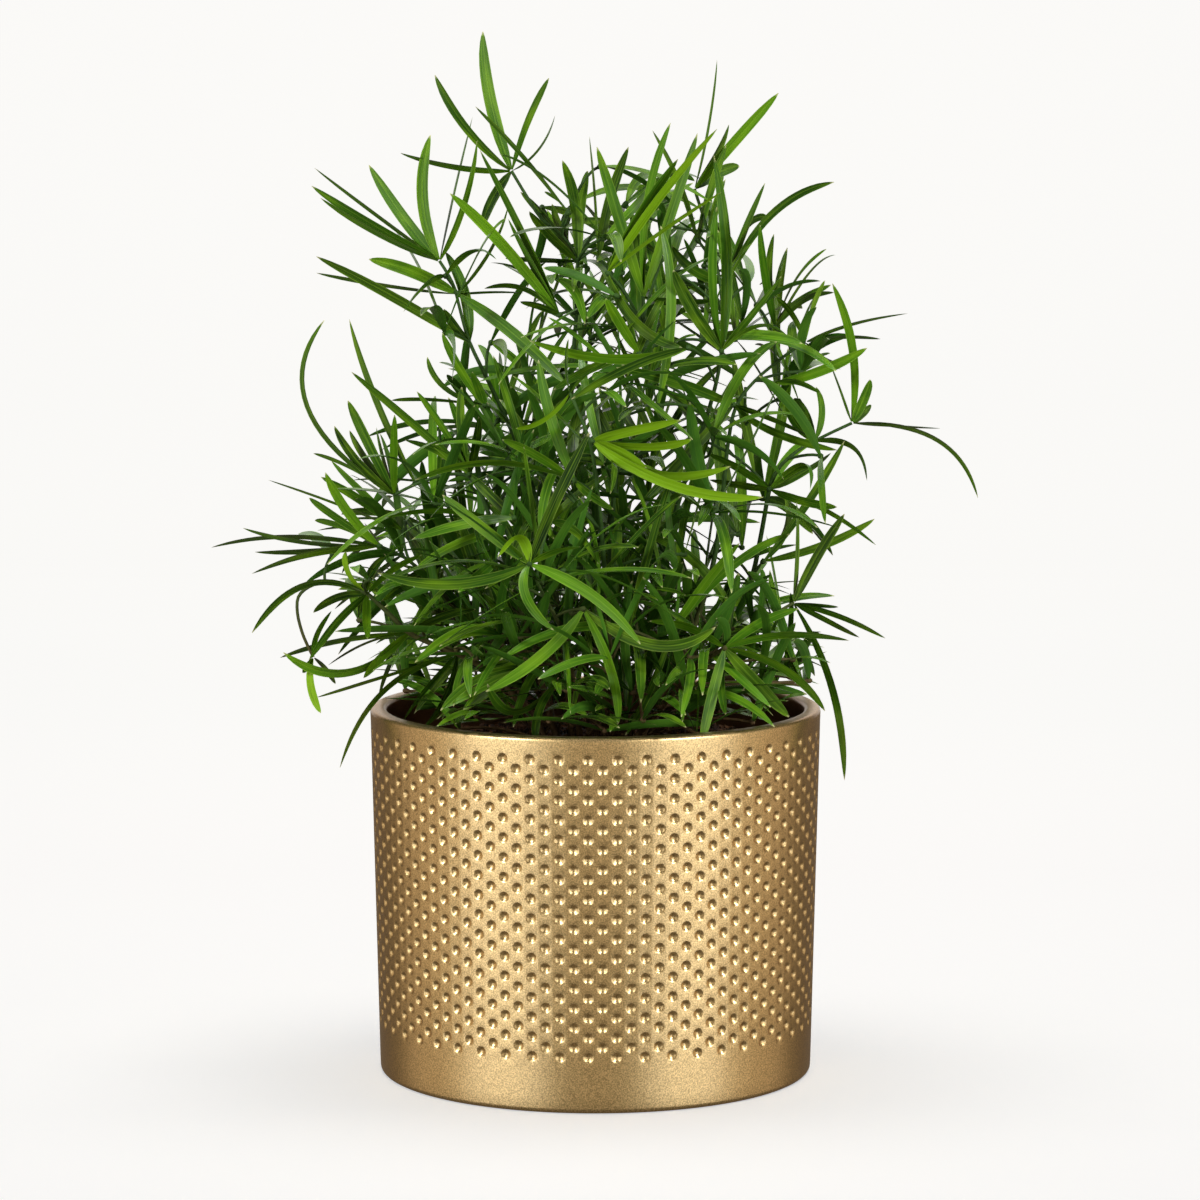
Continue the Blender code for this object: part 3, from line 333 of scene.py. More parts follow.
def makePot():
    plan = potPlan
    columns = plan["pitColumns"]
    width = 2 * math.pi * outerRadius((plan["pitLow"] + plan["pitHigh"]) / 2) / columns
    height = (plan["pitHigh"] - plan["pitLow"]) / (plan["pitRows"] - 1)
    lowEdge, highEdge = plan["pitLow"] - height / 2, plan["pitHigh"] + height / 2
    mesh = pitTile(width, height)
    mesh.transform(Matrix.Scale(mm, 4))
    pot = grown(newObject("goldPot", mesh), pitTree(), {
        "Tile width": mm * width, "Tile height": mm * height, "Pairs of columns": columns // 2,
        "Rows": plan["pitRows"], "Low edge": mm * lowEdge, "Foot radius": mm * plan["footRadius"],
        "Taper": (plan["rimRadius"] - plan["footRadius"]) / plan["height"], "Finish": goldFinish()})
    bm = bmesh.new()
    bm.from_mesh(pot.data)
    potShell(bm, 2 * columns, lowEdge, highEdge)
    bmesh.ops.remove_doubles(bm, verts=bm.verts, dist=2e-5)
    bmesh.ops.recalc_face_normals(bm, faces=bm.faces)
    for face in bm.faces:
        face.smooth = True
        face.material_index = len(pot.data.materials) - 1
    bm.to_mesh(pot.data)
    bm.free()
    finished(pot, "gold_pot", "pot")
    stage(f"pot made, {len(pot.data.polygons)} faces")


# The soil, which fills the pot and is strewn with crumbs.
soilPlan = {
    "belowLip": 15.0,
    "mound": 2.5,
    "gap": 0.3,
    "holeDepth": 16.0,
    "holeGap": 0.35,
    "sides": 120,
    "rings": 34,
    "crumbs": 2600,
    "crumbSize": (0.6, 2.2),
    "footInset": 4.0,
    "footLift": 0.4,
    "dark": "#2A1B11",
    "rusty": "#7A5230",
}
soilTop = potPlan["height"] - soilPlan["belowLip"] + soilPlan["mound"]


def soilHeight(x, y):
    # the mound, with large and small lumps
    radius = math.hypot(x, y) / (potPlan["rimRadius"] - potPlan["wall"])
    base = potPlan["height"] - soilPlan["belowLip"] + soilPlan["mound"] * (1 - radius ** 2)
    large, small = noise.noise(Vector((0.09 * x, 0.09 * y, 0))), noise.noise(Vector((0.3 * x, 0.3 * y, 5)))
    return base - 0.5 + 0.8 * (large + 0.6 * small)


def crumbTree():
    tree, given = newTree("crumbs on the soil", (
        ("Density", "Float", 1.0), ("Least size", "Float", 0.001), ("Largest size", "Float", 0.002),
        ("Finish", "Material", None)))
    up = addNode(tree, "ShaderNodeSeparateXYZ", {0: addNode(tree, "GeometryNodeInputNormal")}).outputs[2]
    top = addNode(tree, "FunctionNodeCompare", {
        "operation": "GREATER_THAN", "data_type": "FLOAT", 0: up, 1: 0.6})
    points = addNode(tree, "GeometryNodeDistributePointsOnFaces", {
        "Seed": 4, 0: given["Geometry"], "Selection": top, "Density": given["Density"]})
    crumb = addNode(tree, "GeometryNodeMeshIcoSphere", {"Subdivisions": 1, "Radius": 1.0})
    turn = addNode(tree, "FunctionNodeRandomValue", {
        "data_type": "FLOAT_VECTOR", 0: (0, 0, 0), 1: (6.3, 6.3, 6.3), "Seed": 1})
    size = addNode(tree, "FunctionNodeRandomValue", {
        "data_type": "FLOAT", 2: given["Least size"], 3: given["Largest size"], "Seed": 2}).outputs[1]
    shape = addNode(tree, "FunctionNodeRandomValue", {
        "data_type": "FLOAT_VECTOR", 0: (0.6, 0.3, 0.25), 1: (1.3, 0.8, 0.6), "Seed": 3})
    scale = addNode(tree, "ShaderNodeVectorMath", {"operation": "SCALE", 0: shape, "Scale": size})
    crumbs = addNode(tree, "GeometryNodeInstanceOnPoints", {
        "Points": points, "Instance": crumb, "Rotation": turn, "Scale": scale})
    joined = addNode(tree, "GeometryNodeJoinGeometry", {0: [crumbs, given["Geometry"]]})
    real = addNode(tree, "GeometryNodeRealizeInstances", {0: joined})
    coated = addNode(tree, "GeometryNodeSetMaterial", {0: real, "Material": given["Finish"]})
    addNode(tree, "NodeGroupOutput", {0: coated})
    return tree


def soilFinish():
    # Peat and bark potting mix, poured and watered: matt, nearly black, with rusty brown specks.
    made, tree, shader = newMaterial("Peat and bark mix")
    place = addNode(tree, "ShaderNodeTexCoord").outputs["Object"]
    specks = addNode(tree, "ShaderNodeTexVoronoi", {"Scale": 420.0, "Vector": place}).outputs["Color"]
    cloud = addNode(tree, "ShaderNodeTexNoise", {"Scale": 90.0, "Detail": 5.0, "Vector": place})
    value = addNode(tree, "ShaderNodeSeparateColor", {0: specks})
    both = addNode(tree, "ShaderNodeMath", {"operation": "MULTIPLY", 0: value, 1: cloud})
    setNode(tree, shader, {
        "Base Color": tinted(tree, soilPlan["dark"], [(both, 0.10, 0.62, 1.0, soilPlan["rusty"])]),
        "Normal": addNode(tree, "ShaderNodeBump", {"Strength": 0.6, "Distance": 0.0006, "Height": cloud}),
        "Roughness": 0.95})
    return made


def makeSoil():
    plan = soilPlan
    edge = outerRadius(potPlan["height"] - plan["belowLip"]) - potPlan["wall"] - plan["gap"]
    bm = bmesh.new()
    low = potPlan["floor"] + plan["gap"] + plan["footLift"]
    last = ringOf(bm, potPlan["footRadius"] - potPlan["wall"] - plan["footInset"], low, plan["sides"])
    bm.faces.new(last[::-1])
    for k in range(plan["rings"]):
        ring = ringOf(bm, edge * (1 - k / plan["rings"]), 0, plan["sides"])
        for vert in ring:
            vert.co.z = soilHeight(vert.co.x, vert.co.y)
        joinRings(bm, last, ring)
        last = ring
    bm.faces.new(last)
    for face in bm.faces:
        face.smooth = True
    mesh = meshOf(bm, "soil")
    mesh.transform(Matrix.Scale(mm, 4))
    area = math.pi * (mm * edge) ** 2
    small, large = plan["crumbSize"]
    soil = grown(newObject("pottingMix", mesh), crumbTree(), {
        "Density": plan["crumbs"] / area, "Least size": mm * small, "Largest size": mm * large,
        "Finish": soilFinish()})
    finished(soil, "soil", "soil")
    stage(f"soil made, {len(soil.data.polygons)} faces")


makePot()
makeSoil()


# The plant. Stems and whorls have the solids' sizes, then those of the finer shapes.
stemPlan = {
    "footThickness": 3.2,
    "tipThickness": 1.5,
    "branchThickness": 1.4,
    "hubRadius": 1.9,
    "hubSlack": 0.7,
    "mostLean": math.radians(42),
    "slip": 0.04,
    "lowestWhorl": 0.12,
    "whorlReach": (12, 34),
    "whorlLift": (0.2, 0.9),
    # how much a whorl's axis leans away from its stem and from the pot's axis, and how much up
    "axisShares": (0.5, 0.012, 0.7),
    "leafCounts": (5, 6, 6, 7),
    "branchDrop": 22,
    "branchLean": 0.08,
    "branchPush": 1.6,
    "shifts": (0, -3, 3, -6, 6, -9, 9),
    "whorlTries": 20,
    "branchTries": 10,
    "seed": 7,
    "finerShare": 0.72,  # real stems are thinner than the solids
    "sides": 7,
    # a branch's end: where it starts to swell, then how far along and how thick it is there
    "swellFrom": 1.6,
    "swelling": ((-0.7, 0.9), (0.2, 1.0), (0.9, 0.4)),
    "nearSpread": 5,
    "moreWhorls": 270,
    "lowPart": 0.3,
    "lowShare": 0.4,
}
stemLook = {
    "dark": "#22391A",
    "light": "#406026",
    "woodDark": "#3B2D19",
    "woodLight": "#6A5536",
    "greenAbove": 175.0,
    "woodyBelow": 125.0,
}
# Lean is in degrees. Droop, sway and short, for leaves with little room, are shares of the length. A
# leaf that shows no more than edgeOn of its width to the eye is a little narrower.
leafPlan = {
    "width": 4.4,
    "edgeOn": 1.5,
    "edgeOnWidth": 3.4,
    "spareWidth": 1.05,
    "widths": (0.85, 1.1),
    "thickness": 0.9,
    "lengths": (36.0, 58.0),
    "lean": (28, 80),
    "turnSpread": 0.5,
    "droop": (0.02, 0.16),
    "arch": 0.35,
    "sway": 0.07,
    "short": 0.75,
    "roll": 0.55,
    "tries": 14,
    "tilts": (0.0, 0.25, -0.25),
    "shifts": (0, -3, 3, -6, 6, -9, 9, -13, 13, -18, 18, -24, 24),
    # how far leaves keep from the lip and the wall, the soil and the ground, and whorls from the lip
    "potRoom": 2.5,
    "soilRoom": 1.5,
    "groundRoom": 2,
    "whorlRoom": 6,
    "slightBend": 2.6,
    "strongBend": 7.0,
    "clearance": 0.5,
    "cell": 2.4,  # of the picture, to tell which leaf hides which
    "slimmer": 0.9,  # real leaves are slimmer than the solids' too
    "finerLengths": (40.0, 64.0),
    "finerWidth": 0.8,
    "fold": 0.16,
    "keel": 0.13,
    "twist": 0.35,
    # how far along, and how wide there
    "shape": ((0.0, 0.26), (0.05, 0.46), (0.13, 0.78), (0.26, 0.97), (0.40, 1.0), (0.54, 1.0),
              (0.68, 0.96), (0.80, 0.85), (0.89, 0.65), (0.955, 0.37), (1.0, 0.05)),
}
# Colours as living leaves have them, from a shaded old one to a lit young one. Nearer the pot's axis than
# shadyReach, and fully so from shadyFade below shadyTop, leaves are painted darker towards the old colour:
# painted shade of the crown's inside.
leafLook = {
    "old": "#1A3210",
    "freshAndLit": "#477B15",
    "young": "#86B317",
    "vein": "#83B32A",
    "groove": "#0F2A04",
    "rib": "#93BC38",
    "margin": "#A9C95A",
    "underside": "#3B6A22",
    "tip": "#D6D39A",
    "shadyReach": 60.0,
    "shadyTop": 290.0,
    "shadyFade": 100,
    "shade": 0.4,
    "youngSpread": 0.09,
    "freshDraw": (0.52, 0.24),  # middle and spread
    # how young and how fresh a yellow, a vivid, a dark and a greyish leaf of the photo is
    "marked": {"y": (0.7, 0.9), "v": (0.17, 0.95), "d": (0.0, 0.12), "g": (0.0, 0.35)},
}

# the outline that the crown's plain leaves stay in, as places across and up
crownOutline = (
    (-55, 126), (-75, 140), (-96, 152), (-90, 168), (-104, 182), (-98, 198), (-88, 216), (-80, 234),
    (-70, 226), (-62, 218), (-54, 232), (-56, 246), (-48, 258), (-62, 268), (-80, 282), (-86, 302),
    (-70, 310), (-56, 318), (-44, 312), (-36, 330), (-24, 332), (-14, 318), (0, 320), (12, 318),
    (24, 324), (38, 322), (50, 326), (52, 308), (60, 298), (66, 284), (78, 280), (80, 268), (92, 258),
    (82, 248), (70, 240), (72, 228), (78, 222), (76, 206), (88, 196), (84, 186), (76, 180), (84, 170),
    (90, 158), (80, 150), (72, 138), (60, 126),
)
crownDepth = 84.0
# the dense middle of the crown, where the finer whorls are
crownHeart = (
    (-76, 124), (-72, 140), (-80, 152), (-70, 166), (-98, 180), (-88, 200), (-60, 204), (-48, 214),
    (-44, 232), (-54, 244), (-46, 256), (-26, 262), (-22, 282), (-10, 296), (6, 290), (14, 300),
    (30, 314), (46, 316), (48, 300), (58, 284), (62, 262), (54, 246), (46, 232), (48, 218), (56, 204),
    (58, 188), (66, 174), (76, 160), (80, 146), (76, 128),
)

# Whorls grown last: low ones behind the front of the lip, whose leaves hide the soil, and some that
# fill the crown at its top right.
lateSpots = (
    (-50, 131, -28), (-36, 130, -42), (-20, 129, -50), (-2, 129, -53), (16, 129, -50), (34, 130, -43),
    (50, 131, -28), (-44, 134, -8), (-26, 132, -24), (-8, 132, -28), (10, 132, -28), (28, 132, -24),
    (44, 134, -8), (-30, 136, 6), (0, 136, 8), (30, 136, 6),
    (-8, 282, -6), (6, 288, 8), (20, 284, -8), (34, 280, 6), (46, 262, -6), (14, 268, 16), (28, 262, -16),
)

# Where light shows through the crown, as places across and up and how far round them, and where it
# is densest. The finer whorls keep out of the first and fill the second.
thinSpots = (
    (-37, 283, 7), (-31, 276, 6), (-25, 265, 4), (-48, 304, 5), (-48, 296, 5), (-41, 300, 4),
    (-16, 308, 6), (-16, 318, 6), (-24, 312, 4), (48, 305, 5), (65, 283, 6), (64, 272, 5),
    (72, 264, 6), (-56, 250, 6), (-54, 232, 5), (-58, 224, 4), (-56, 216, 4.5), (62, 240, 6),
    (55, 230, 5), (79, 232, 5), (64, 216, 5), (56, 198, 5), (50, 190, 5), (32, 191, 5),
    (41, 190, 4), (48, 183, 4), (64, 183, 4), (78, 172, 8), (-88, 187, 6), (-96, 176, 5),
    (-63, 168, 4), (-79, 153, 6), (4, 318, 5), (-76, 186, 3), (-64, 184, 3), (18, 317, 4),
)
fullSpots = (
    (0, 282, 0), (4, 276, -12), (22, 283, 5), (30, 279, -4), (-22, 250, -5), (-30, 254, 2),
    (9, 276, 6), (62, 150, -20), (66, 143, 8), (70, 148, 0), (58, 140, -30), (74, 138, -10),
    (56, 142, 20), (-14, 282, -14), (14, 262, 20), (36, 262, 14), (68, 140, -22), (-50, 140, 24),
    (30, 140, 34), (-10, 140, 40), (12, 138, 44), (-30, 138, 36), (46, 138, 30), (-66, 136, -6),
)

# Each leafy stem has its foot on the soil (x, y), how many plain whorls the rule adds, the places
# that it passes (across, up, depth), and its chosen whorls. A whorl is its place and its leaves. A
# leaf is its tip (across, up, depth from the whorl), the place that its middle passes (across, up),
# the width that it shows to the eye and, where its colour is marked, that letter.
stems = {
    "leafy_stem_01": {
        "foot": (-8, 2), "plain": 3,
        "route": ((-12, 165, -2), (-20, 205, -8), (-30, 232, -12), (-42, 257, -12), (-47, 275, -10),
                  (-52, 284, -8)),
        "whorls": (
            ((-52, 284, -8), (-55, 326, -6, -57.5, 305, 4.2), (-75.5, 316, 6, -64, 298.5, 4.4),
             (-93.6, 315, 12, -73, 299.5, 1.4), (-94.6, 309, 2, -74, 296, 3.2),
             (-91.6, 305, -4, -72, 293, 1.8), (-41, 332, 12, -47, 308, 0.8),
             (-39.5, 324, -6, -44, 303, 2.3)),
            ((-50, 279, -16), (-33, 284.5, -8, -41, 287.5, 1.6), (-64, 267, -10, -57, 276, 1.6)),
            ((-46, 273, -10), (-75.5, 284.6, -10, -61, 280.5, 4.5), (-93, 280, 10, -70, 276, 1.3),
             (-24, 273.3, 4, -34, 273.8, 0.9), (-29, 303, 2, -35, 288, 1.3),
             (-10, 243, -14, -27, 259.5, 4.4)),
            ((-42, 257, -12), (-93, 285.5, -4, -68, 272.5, 3.6), (-50, 287, 8, -43.5, 273, 4.0),
             (-50.5, 268, -8, -46.5, 262, 3.0)),
            ((-37, 236, -18), (-51, 260, -6, -45, 248, 3.0), (-41, 247, -12, -38.5, 241, 3.4),
             (-56, 252, 0, -50, 242, 1.8), (-68, 237.5, 6, -55, 238, 1.2)),
        ),
    },
    "leafy_stem_02": {
        "foot": (-2, 5), "plain": 3,
        "route": ((-4, 165, 4), (-6, 205, 2), (-8, 245, 0), (-6, 284, -2), (-18, 298, -2),
                  (-28, 314, 0)),
        "whorls": (
            ((-28, 314, 0), (-37.5, 360.5, 0, -35, 338, 4.6), (-53.5, 346, 4, -43, 328.5, 2.9),
             (-15.5, 345, 4, -22.8, 330.5, 2.4), (-65, 320, -6, -46.5, 315.5, 2.2),
             (-13.5, 332.5, 8, -19, 321.5, 0.8), (-38, 295, -6, -34.5, 304.5, 3.6, "d")),
            ((-9, 300, -8), (-40, 335.5, -8, -24, 319, 1.6), (-17, 307, 4, -12.5, 304.5, 0.8)),
            ((-6, 284, -2), (-11, 317.5, -10, -6.5, 302, 4.2), (-14.5, 303, 6, -11, 293.5, 2.6),
             (-25, 307, 12, -15, 296.5, 2.6), (-22, 300.5, -6, -15, 292.5, 3.2),
             (-30, 285, -10, -19, 284.6, 1.8), (-2.5, 314, 16, -5, 302, 3.4, "g")),
            ((-12, 266, -12), (-38.5, 321, -8, -24.5, 294, 2.7),
             (-48.5, 306.5, -12, -31, 289.5, 4.0, "v"), (-29, 298, 0, -21.5, 284, 2.2),
             (-37, 274.8, 2, -24, 275, 2.0), (-25, 270.5, -8, -18.5, 269, 2.4)),
        ),
    },
    "leafy_stem_03": {
        "foot": (3, -2), "plain": 3,
        "route": ((4, 165, -8), (6, 205, -12), (10, 235, -16), (14.5, 253.5, -18), (16, 272, -14)),
        "whorls": (
            ((16, 272, -14), (0.5, 322, -8, 8, 298, 4.2), (34, 326.5, 0, 24.5, 298, 3.6),
             (11.5, 302, 10, 14.5, 287, 3.0), (25, 330, 8, 17, 303, 2.8), (39, 271, -6, 28, 270.7, 2.2)),
            ((1, 285, -8), (11, 322, -6, 4.5, 304, 3.6), (-2, 325.5, 10, 0, 306, 1.0)),
            ((4, 280, -24), (27.5, 318, -8, 14.5, 299, 3.6), (40.5, 328, -12, 21, 305, 3.0, "y"),
             (42, 307, -16, 22, 294, 1.4, "y"), (29, 255, -12, 14, 263, 3.6)),
            ((14.5, 253, -36), (3.5, 271.5, -6, 8.5, 263, 3.6, "v"), (-14, 241, -6, 0, 249, 3.0)),
        ),
    },
    "leafy_stem_04": {
        "foot": (9, 3), "plain": 3,
        "route": ((18, 165, 0), (28, 205, -4), (37, 232, -10), (42, 254, -12), (41, 280, -2),
                  (33, 308, 6)),
        "whorls": (
            ((33, 308, 6), (40.5, 351, 0, 37.6, 329.5, 1.0), (61, 340, -6, 46, 323.5, 3.7, "v"),
             (48, 315.5, 8, 41, 313.5, 4.0, "g"), (44.5, 329.5, 4, 40, 319, 2.5)),
            ((34, 291, 4), (19, 327.5, 8, 28, 310.5, 2.0), (43.5, 322.5, -2, 38, 307, 2.8)),
            ((42, 254, -22), (39.5, 319, -10, 43.8, 286, 4.0), (40.5, 302, -12, 39.3, 277, 3.0),
             (26, 281, -10, 32, 268.5, 4.6), (62, 279, -4, 51, 265, 2.6),
             (64, 259, -10, 54, 262.5, 1.4)),
            ((44, 277, 0), (56.5, 310, 2, 49, 293, 2.6), (79.5, 310.3, -2, 59, 300, 2.7),
             (57.5, 298.5, 6, 49.5, 294.5, 1.8), (25.5, 289, 4, 33, 281, 3.8)),
            ((31, 255, -36), (-22, 257.5, -14, 6, 251.5, 3.6, "v"), (-8, 238, -12, 12, 249, 3.0)),
        ),
    },
    "leafy_stem_05": {
        "foot": (15, -4), "plain": 3,
        "route": ((32, 160, -6), (40, 187, -10), (43, 212, -12), (47, 236, -12), (60, 250, -8),
                  (70, 257, -8)),
        "whorls": (
            ((70, 257, -8), (104, 266.5, 0, 86, 263.2, 1.3), (95, 258, -4, 83, 258.8, 1.3),
             (76.5, 277.5, 4, 72, 268, 1.6), (84.5, 250, 6, 77, 251.5, 1.1), (60, 272, 4, 66, 266, 2.0)),
            ((60, 262, -2), (59.5, 293, 8, 58, 278, 2.8, "g"), (55, 296, -4, 56.5, 281, 3.0),
             (80, 286, -2, 71, 280, 0.9), (77, 288, 6, 67, 278.5, 0.8), (79.5, 273.5, -4, 69, 271, 2.4),
             (78.5, 276, 2, 67, 270, 3.0)),
            ((59, 243, -14), (90.5, 255, -6, 75, 247.5, 3.7, "v"), (75, 240, -6, 67, 243.8, 1.8)),
            ((46, 236, -16), (7, 248.5, -20, 27, 243.5, 4.0), (73, 225, -8, 59, 231.5, 2.0),
             (80.5, 221, -16, 60, 227, 2.8), (15, 203, -8, 31, 220, 3.6, "d")),
        ),
    },
    "leafy_stem_06": {
        "foot": (18, 5), "plain": 2,
        "route": ((40, 155, 4), (52, 178, 0), (58, 208, -14), (64, 218, -16), (73, 224, -12),
                  (85.5, 230, -12)),
        "whorls": (
            ((85.5, 230, -12), (79, 276.5, 0, 86, 254, 3.0, "v"), (91.5, 244.5, -4, 89.3, 238, 3.6),
             (92, 235.5, 6, 89, 233.3, 2.8, "g"), (78, 250.5, 6, 82, 240.5, 0.9),
             (115, 228.2, 2, 100, 229.2, 0.9), (127.5, 205, -6, 114, 224.5, 1.6)),
            ((73, 224, -12), (90.5, 210.8, -6, 86, 222, 1.8), (73.5, 242, 6, 75.2, 233.5, 2.4),
             (66, 238, 10, 70.5, 233, 2.6, "g"), (64, 238.5, -6, 66.5, 230.5, 2.9)),
            ((58, 208, -16), (80.5, 202, -8, 69, 204.2, 3.0), (71.5, 207.5, -12, 70, 216, 2.2),
             (78.5, 220, 8, 69, 213.5, 2.4, "g"), (37, 220, -4, 47, 215.5, 2.8),
             (93.5, 189.3, -6, 77, 201, 1.8), (38, 211, 6, 48, 209.5, 2.6)),
            ((56, 184, -6), (83, 224, -6, 69.5, 202, 2.8), (93, 198, 2, 76, 189.5, 3.0),
             (63, 206, 2, 63.5, 195, 2.4)),
        ),
    },
    "leafy_stem_07": {
        "foot": (12, -12), "plain": 2,
        "route": ((22, 135, -20), (33, 148, -34), (43, 155, -42), (56, 164, -32), (66, 170, -20)),
        "whorls": (
            ((43, 155, -46), (35, 122, -8, 39, 140, 3.8), (64.5, 132, 6, 54, 143, 4.4),
             (84.5, 157.5, 4, 63, 159.5, 2.6), (67.5, 168, 12, 55, 163.5, 3.4),
             (76.5, 134, 4, 63, 148, 2.8), (18, 164, -6, 31, 162, 2.8)),
            ((66, 170, -20), (83, 199.7, -4, 74, 186, 3.6), (67, 203.5, -8, 67, 187, 1.6),
             (81, 168.7, -4, 73, 169.5, 1.3), (96.6, 158.3, -6, 82, 165.5, 2.0),
             (88, 158.5, 2, 77, 164.5, 2.0), (83, 111, -10, 79, 142, 2.6)),
            ((25, 160, -30), (48, 190, -6, 36, 176, 3.2, "v"), (65, 193, 10, 45, 182, 3.0),
             (10, 126, -4, 18, 141, 2.4)),
        ),
    },
    "leafy_stem_08": {
        "foot": (-5, -13), "plain": 3,
        "route": ((-7, 140, -22), (-10, 158, -38), (-17, 172, -52), (-22, 183, -62)),
        "whorls": (
            ((-22, 183, -66), (-2, 227, -4, -13.5, 204, 3.8), (15, 156.3, -8, -1, 172.5, 4.0, "v"),
             (-14, 161, -8, -23, 172.5, 3.4), (-72.5, 180, 8, -47, 176.5, 3.9),
             (-51, 206, 4, -37.5, 195, 3.9), (-32.5, 185.3, -6, -25.5, 192, 2.2, "y"),
             (-5, 188.7, -8, -13, 187.5, 2.0)),
            ((-15, 197, -54), (1, 183, -10, -6, 193.5, 2.8)),
            ((-4, 168, -54), (-36.5, 140.5, -4, -18, 152.5, 4.2, "v"), (40, 162, -8, 20, 156, 4.2),
             (7.5, 129.5, -4, 5.5, 147, 3.4, "v")),
            ((-13, 143, -38), (-36, 143, -8, -27, 134, 2.4), (-20, 122, -4, -19, 134, 3.0)),
        ),
    },
    "leafy_stem_09": {
        "foot": (-18, -8), "plain": 2,
        "route": ((-30, 143, -14), (-46, 153, -20), (-62, 160, -24), (-76, 173, -28), (-90, 177, -26),
                  (-99, 172, -26), (-98, 161, -26), (-94, 152, -26)),
        "whorls": (
            ((-76, 173, -28), (-76, 158, -8, -76.5, 166, 3.2, "v"), (-95.5, 151, -8, -86, 164, 2.8),
             (-83, 187, -8, -82, 180, 1.9, "y"), (-94, 166.8, 4, -86, 172, 3.0, "d"),
             (-114.5, 160, -6, -97, 176, 2.2), (-58, 186, -4, -68, 181, 2.2)),
            ((-94, 152, -26), (-88, 167.3, 4, -93, 159.5, 2.0), (-97.7, 146.8, -2, -96, 149.5, 1.8),
             (-91.5, 133.3, -4, -94.7, 143, 2.7, "y"), (-86.7, 143, 4, -90, 148.5, 1.7)),
            ((-62, 160, -24), (-105, 151.8, 2, -86, 157.5, 2.0), (-104, 153.5, -8, -83, 147, 2.8),
             (-77.3, 145, -4, -70.5, 153, 3.0, "v"), (-89, 149.3, 10, -76, 157, 0.9),
             (-40, 168, -10, -50, 166, 3.0)),
            ((-46, 153, -20), (-85.2, 115, -8, -71, 140.5, 2.0), (-93, 138.5, 4, -71, 145.5, 1.2),
             (-64, 131, -10, -57, 141, 1.8), (-57, 129, -14, -50, 139, 2.4, "g")),
        ),
    },
    "leafy_stem_10": {
        "foot": (-17, 2), "plain": 3,
        "route": ((-34, 152, 0), (-50, 172, -6), (-62, 184, -12), (-72, 189, -16)),
        "whorls": (
            ((-72, 189, -18), (-117.5, 195, 4, -97, 190.5, 1.6), (-128, 188.5, 4, -103, 192.3, 1.8),
             (-113.5, 187, -4, -94, 187.5, 2.2), (-114.5, 179.8, -8, -95, 186.5, 2.4),
             (-95.5, 205, 6, -86, 198.5, 2.7), (-93.5, 197.4, 12, -84, 195.5, 1.8),
             (-90, 213.5, -8, -82.5, 200.5, 3.5, "v")),
            ((-64, 194, -6), (-91.5, 212, 4, -77.5, 204, 3.2), (-109, 211, 4, -87, 203.5, 1.0),
             (-88, 217.3, 12, -78, 207.5, 2.6)),
        ),
    },
    "leafy_stem_11": {
        "foot": (-13, -4), "plain": 3,
        "route": ((-24, 165, -14), (-34, 195, -20), (-42, 212, -20), (-56, 211, -18), (-67, 206, -16)),
        "whorls": (
            ((-67, 206, -16), (-87, 229, -2, -79, 217, 3.2), (-82.5, 237.5, -4, -75.5, 223, 3.5),
             (-82, 227.5, 8, -76, 217.5, 2.4, "g"), (-67, 232.7, -10, -67.5, 219, 2.9, "v"),
             (-73, 228.5, 8, -70.5, 218, 1.4), (-90.3, 264.3, 4, -95.5, 235, 1.8),
             (-94, 219.8, 6, -82, 215.5, 1.2)),
            ((-60, 210, -10), (-82, 264.5, 4, -73, 238, 2.5, "g")),
            ((-42, 213, -22), (-81.3, 247, -4, -62, 231, 3.0), (-63.5, 224.3, 2, -52, 220.5, 2.6),
             (-59.5, 240.5, 0, -50, 227.5, 2.2), (-44.5, 242, -8, -44.5, 228, 3.0),
             (-39, 232, -14, -40, 223, 3.2), (-26, 197, -12, -33, 204, 3.6)),
            ((-36, 199, -24), (-70, 198.5, -10, -54, 201, 1.9)),
        ),
    },
    "leafy_stem_12": {
        "foot": (0, 14), "plain": 6,
        "route": ((0, 165, 22), (-2, 205, 34), (-4, 240, 42), (0, 270, 44)),
        "whorls": (),
    },
    "leafy_stem_13": {
        "foot": (-13, 13), "plain": 6,
        "route": ((-26, 155, 22), (-40, 180, 36), (-50, 205, 42), (-52, 228, 42)),
        "whorls": (),
    },
    "leafy_stem_14": {
        "foot": (12, 14), "plain": 6,
        "route": ((24, 155, 22), (38, 185, 34), (48, 215, 40), (50, 242, 40)),
        "whorls": (),
    },
    "leafy_stem_15": {
        "foot": (5, -12), "plain": 2,
        "route": ((5, 150, -28), (3, 180, -40), (1, 205, -50), (-2, 224, -56), (-8.5, 240, -54)),
        "whorls": (
            ((-1, 224, -58), (17, 215, -4, 8.5, 220.5, 3.0, "y"), (32, 224.6, -10, 18, 222.3, 2.6, "y"),
             (45, 215.6, -6, 20, 213, 3.2, "y"), (56, 205.3, -14, 27, 209, 3.7, "y"),
             (28.5, 231, -10, 10, 227, 3.4, "y")),
            ((-8.5, 240, -54), (-26.5, 228.3, -6, -17, 231.5, 1.7, "y"), (-9, 258, 4, -9.5, 249, 1.0),
             (4, 250, 2, -3, 246.5, 1.2)),
            ((-7, 211, -50), (-19, 251, -10, -14.5, 231, 4.0), (-31, 224.5, -4, -20, 219.5, 3.0),
             (-60, 211, 2, -34, 217, 2.0), (6, 201.3, -8, -2, 206.5, 2.7, "g")),
        ),
    },
}


def seen(across, up, depth):
    # The point at this depth (along Y) that the eye sees at this place across and up.
    lift = (up - eye["level"]) / eye["span"]
    reach = (eye["back"] + depth) / (math.cos(eye["dip"]) + lift * math.sin(eye["dip"]))
    rise = reach * (lift * math.cos(eye["dip"]) - math.sin(eye["dip"]))
    return Vector((reach * across / eye["span"], depth, eye["height"] + rise))


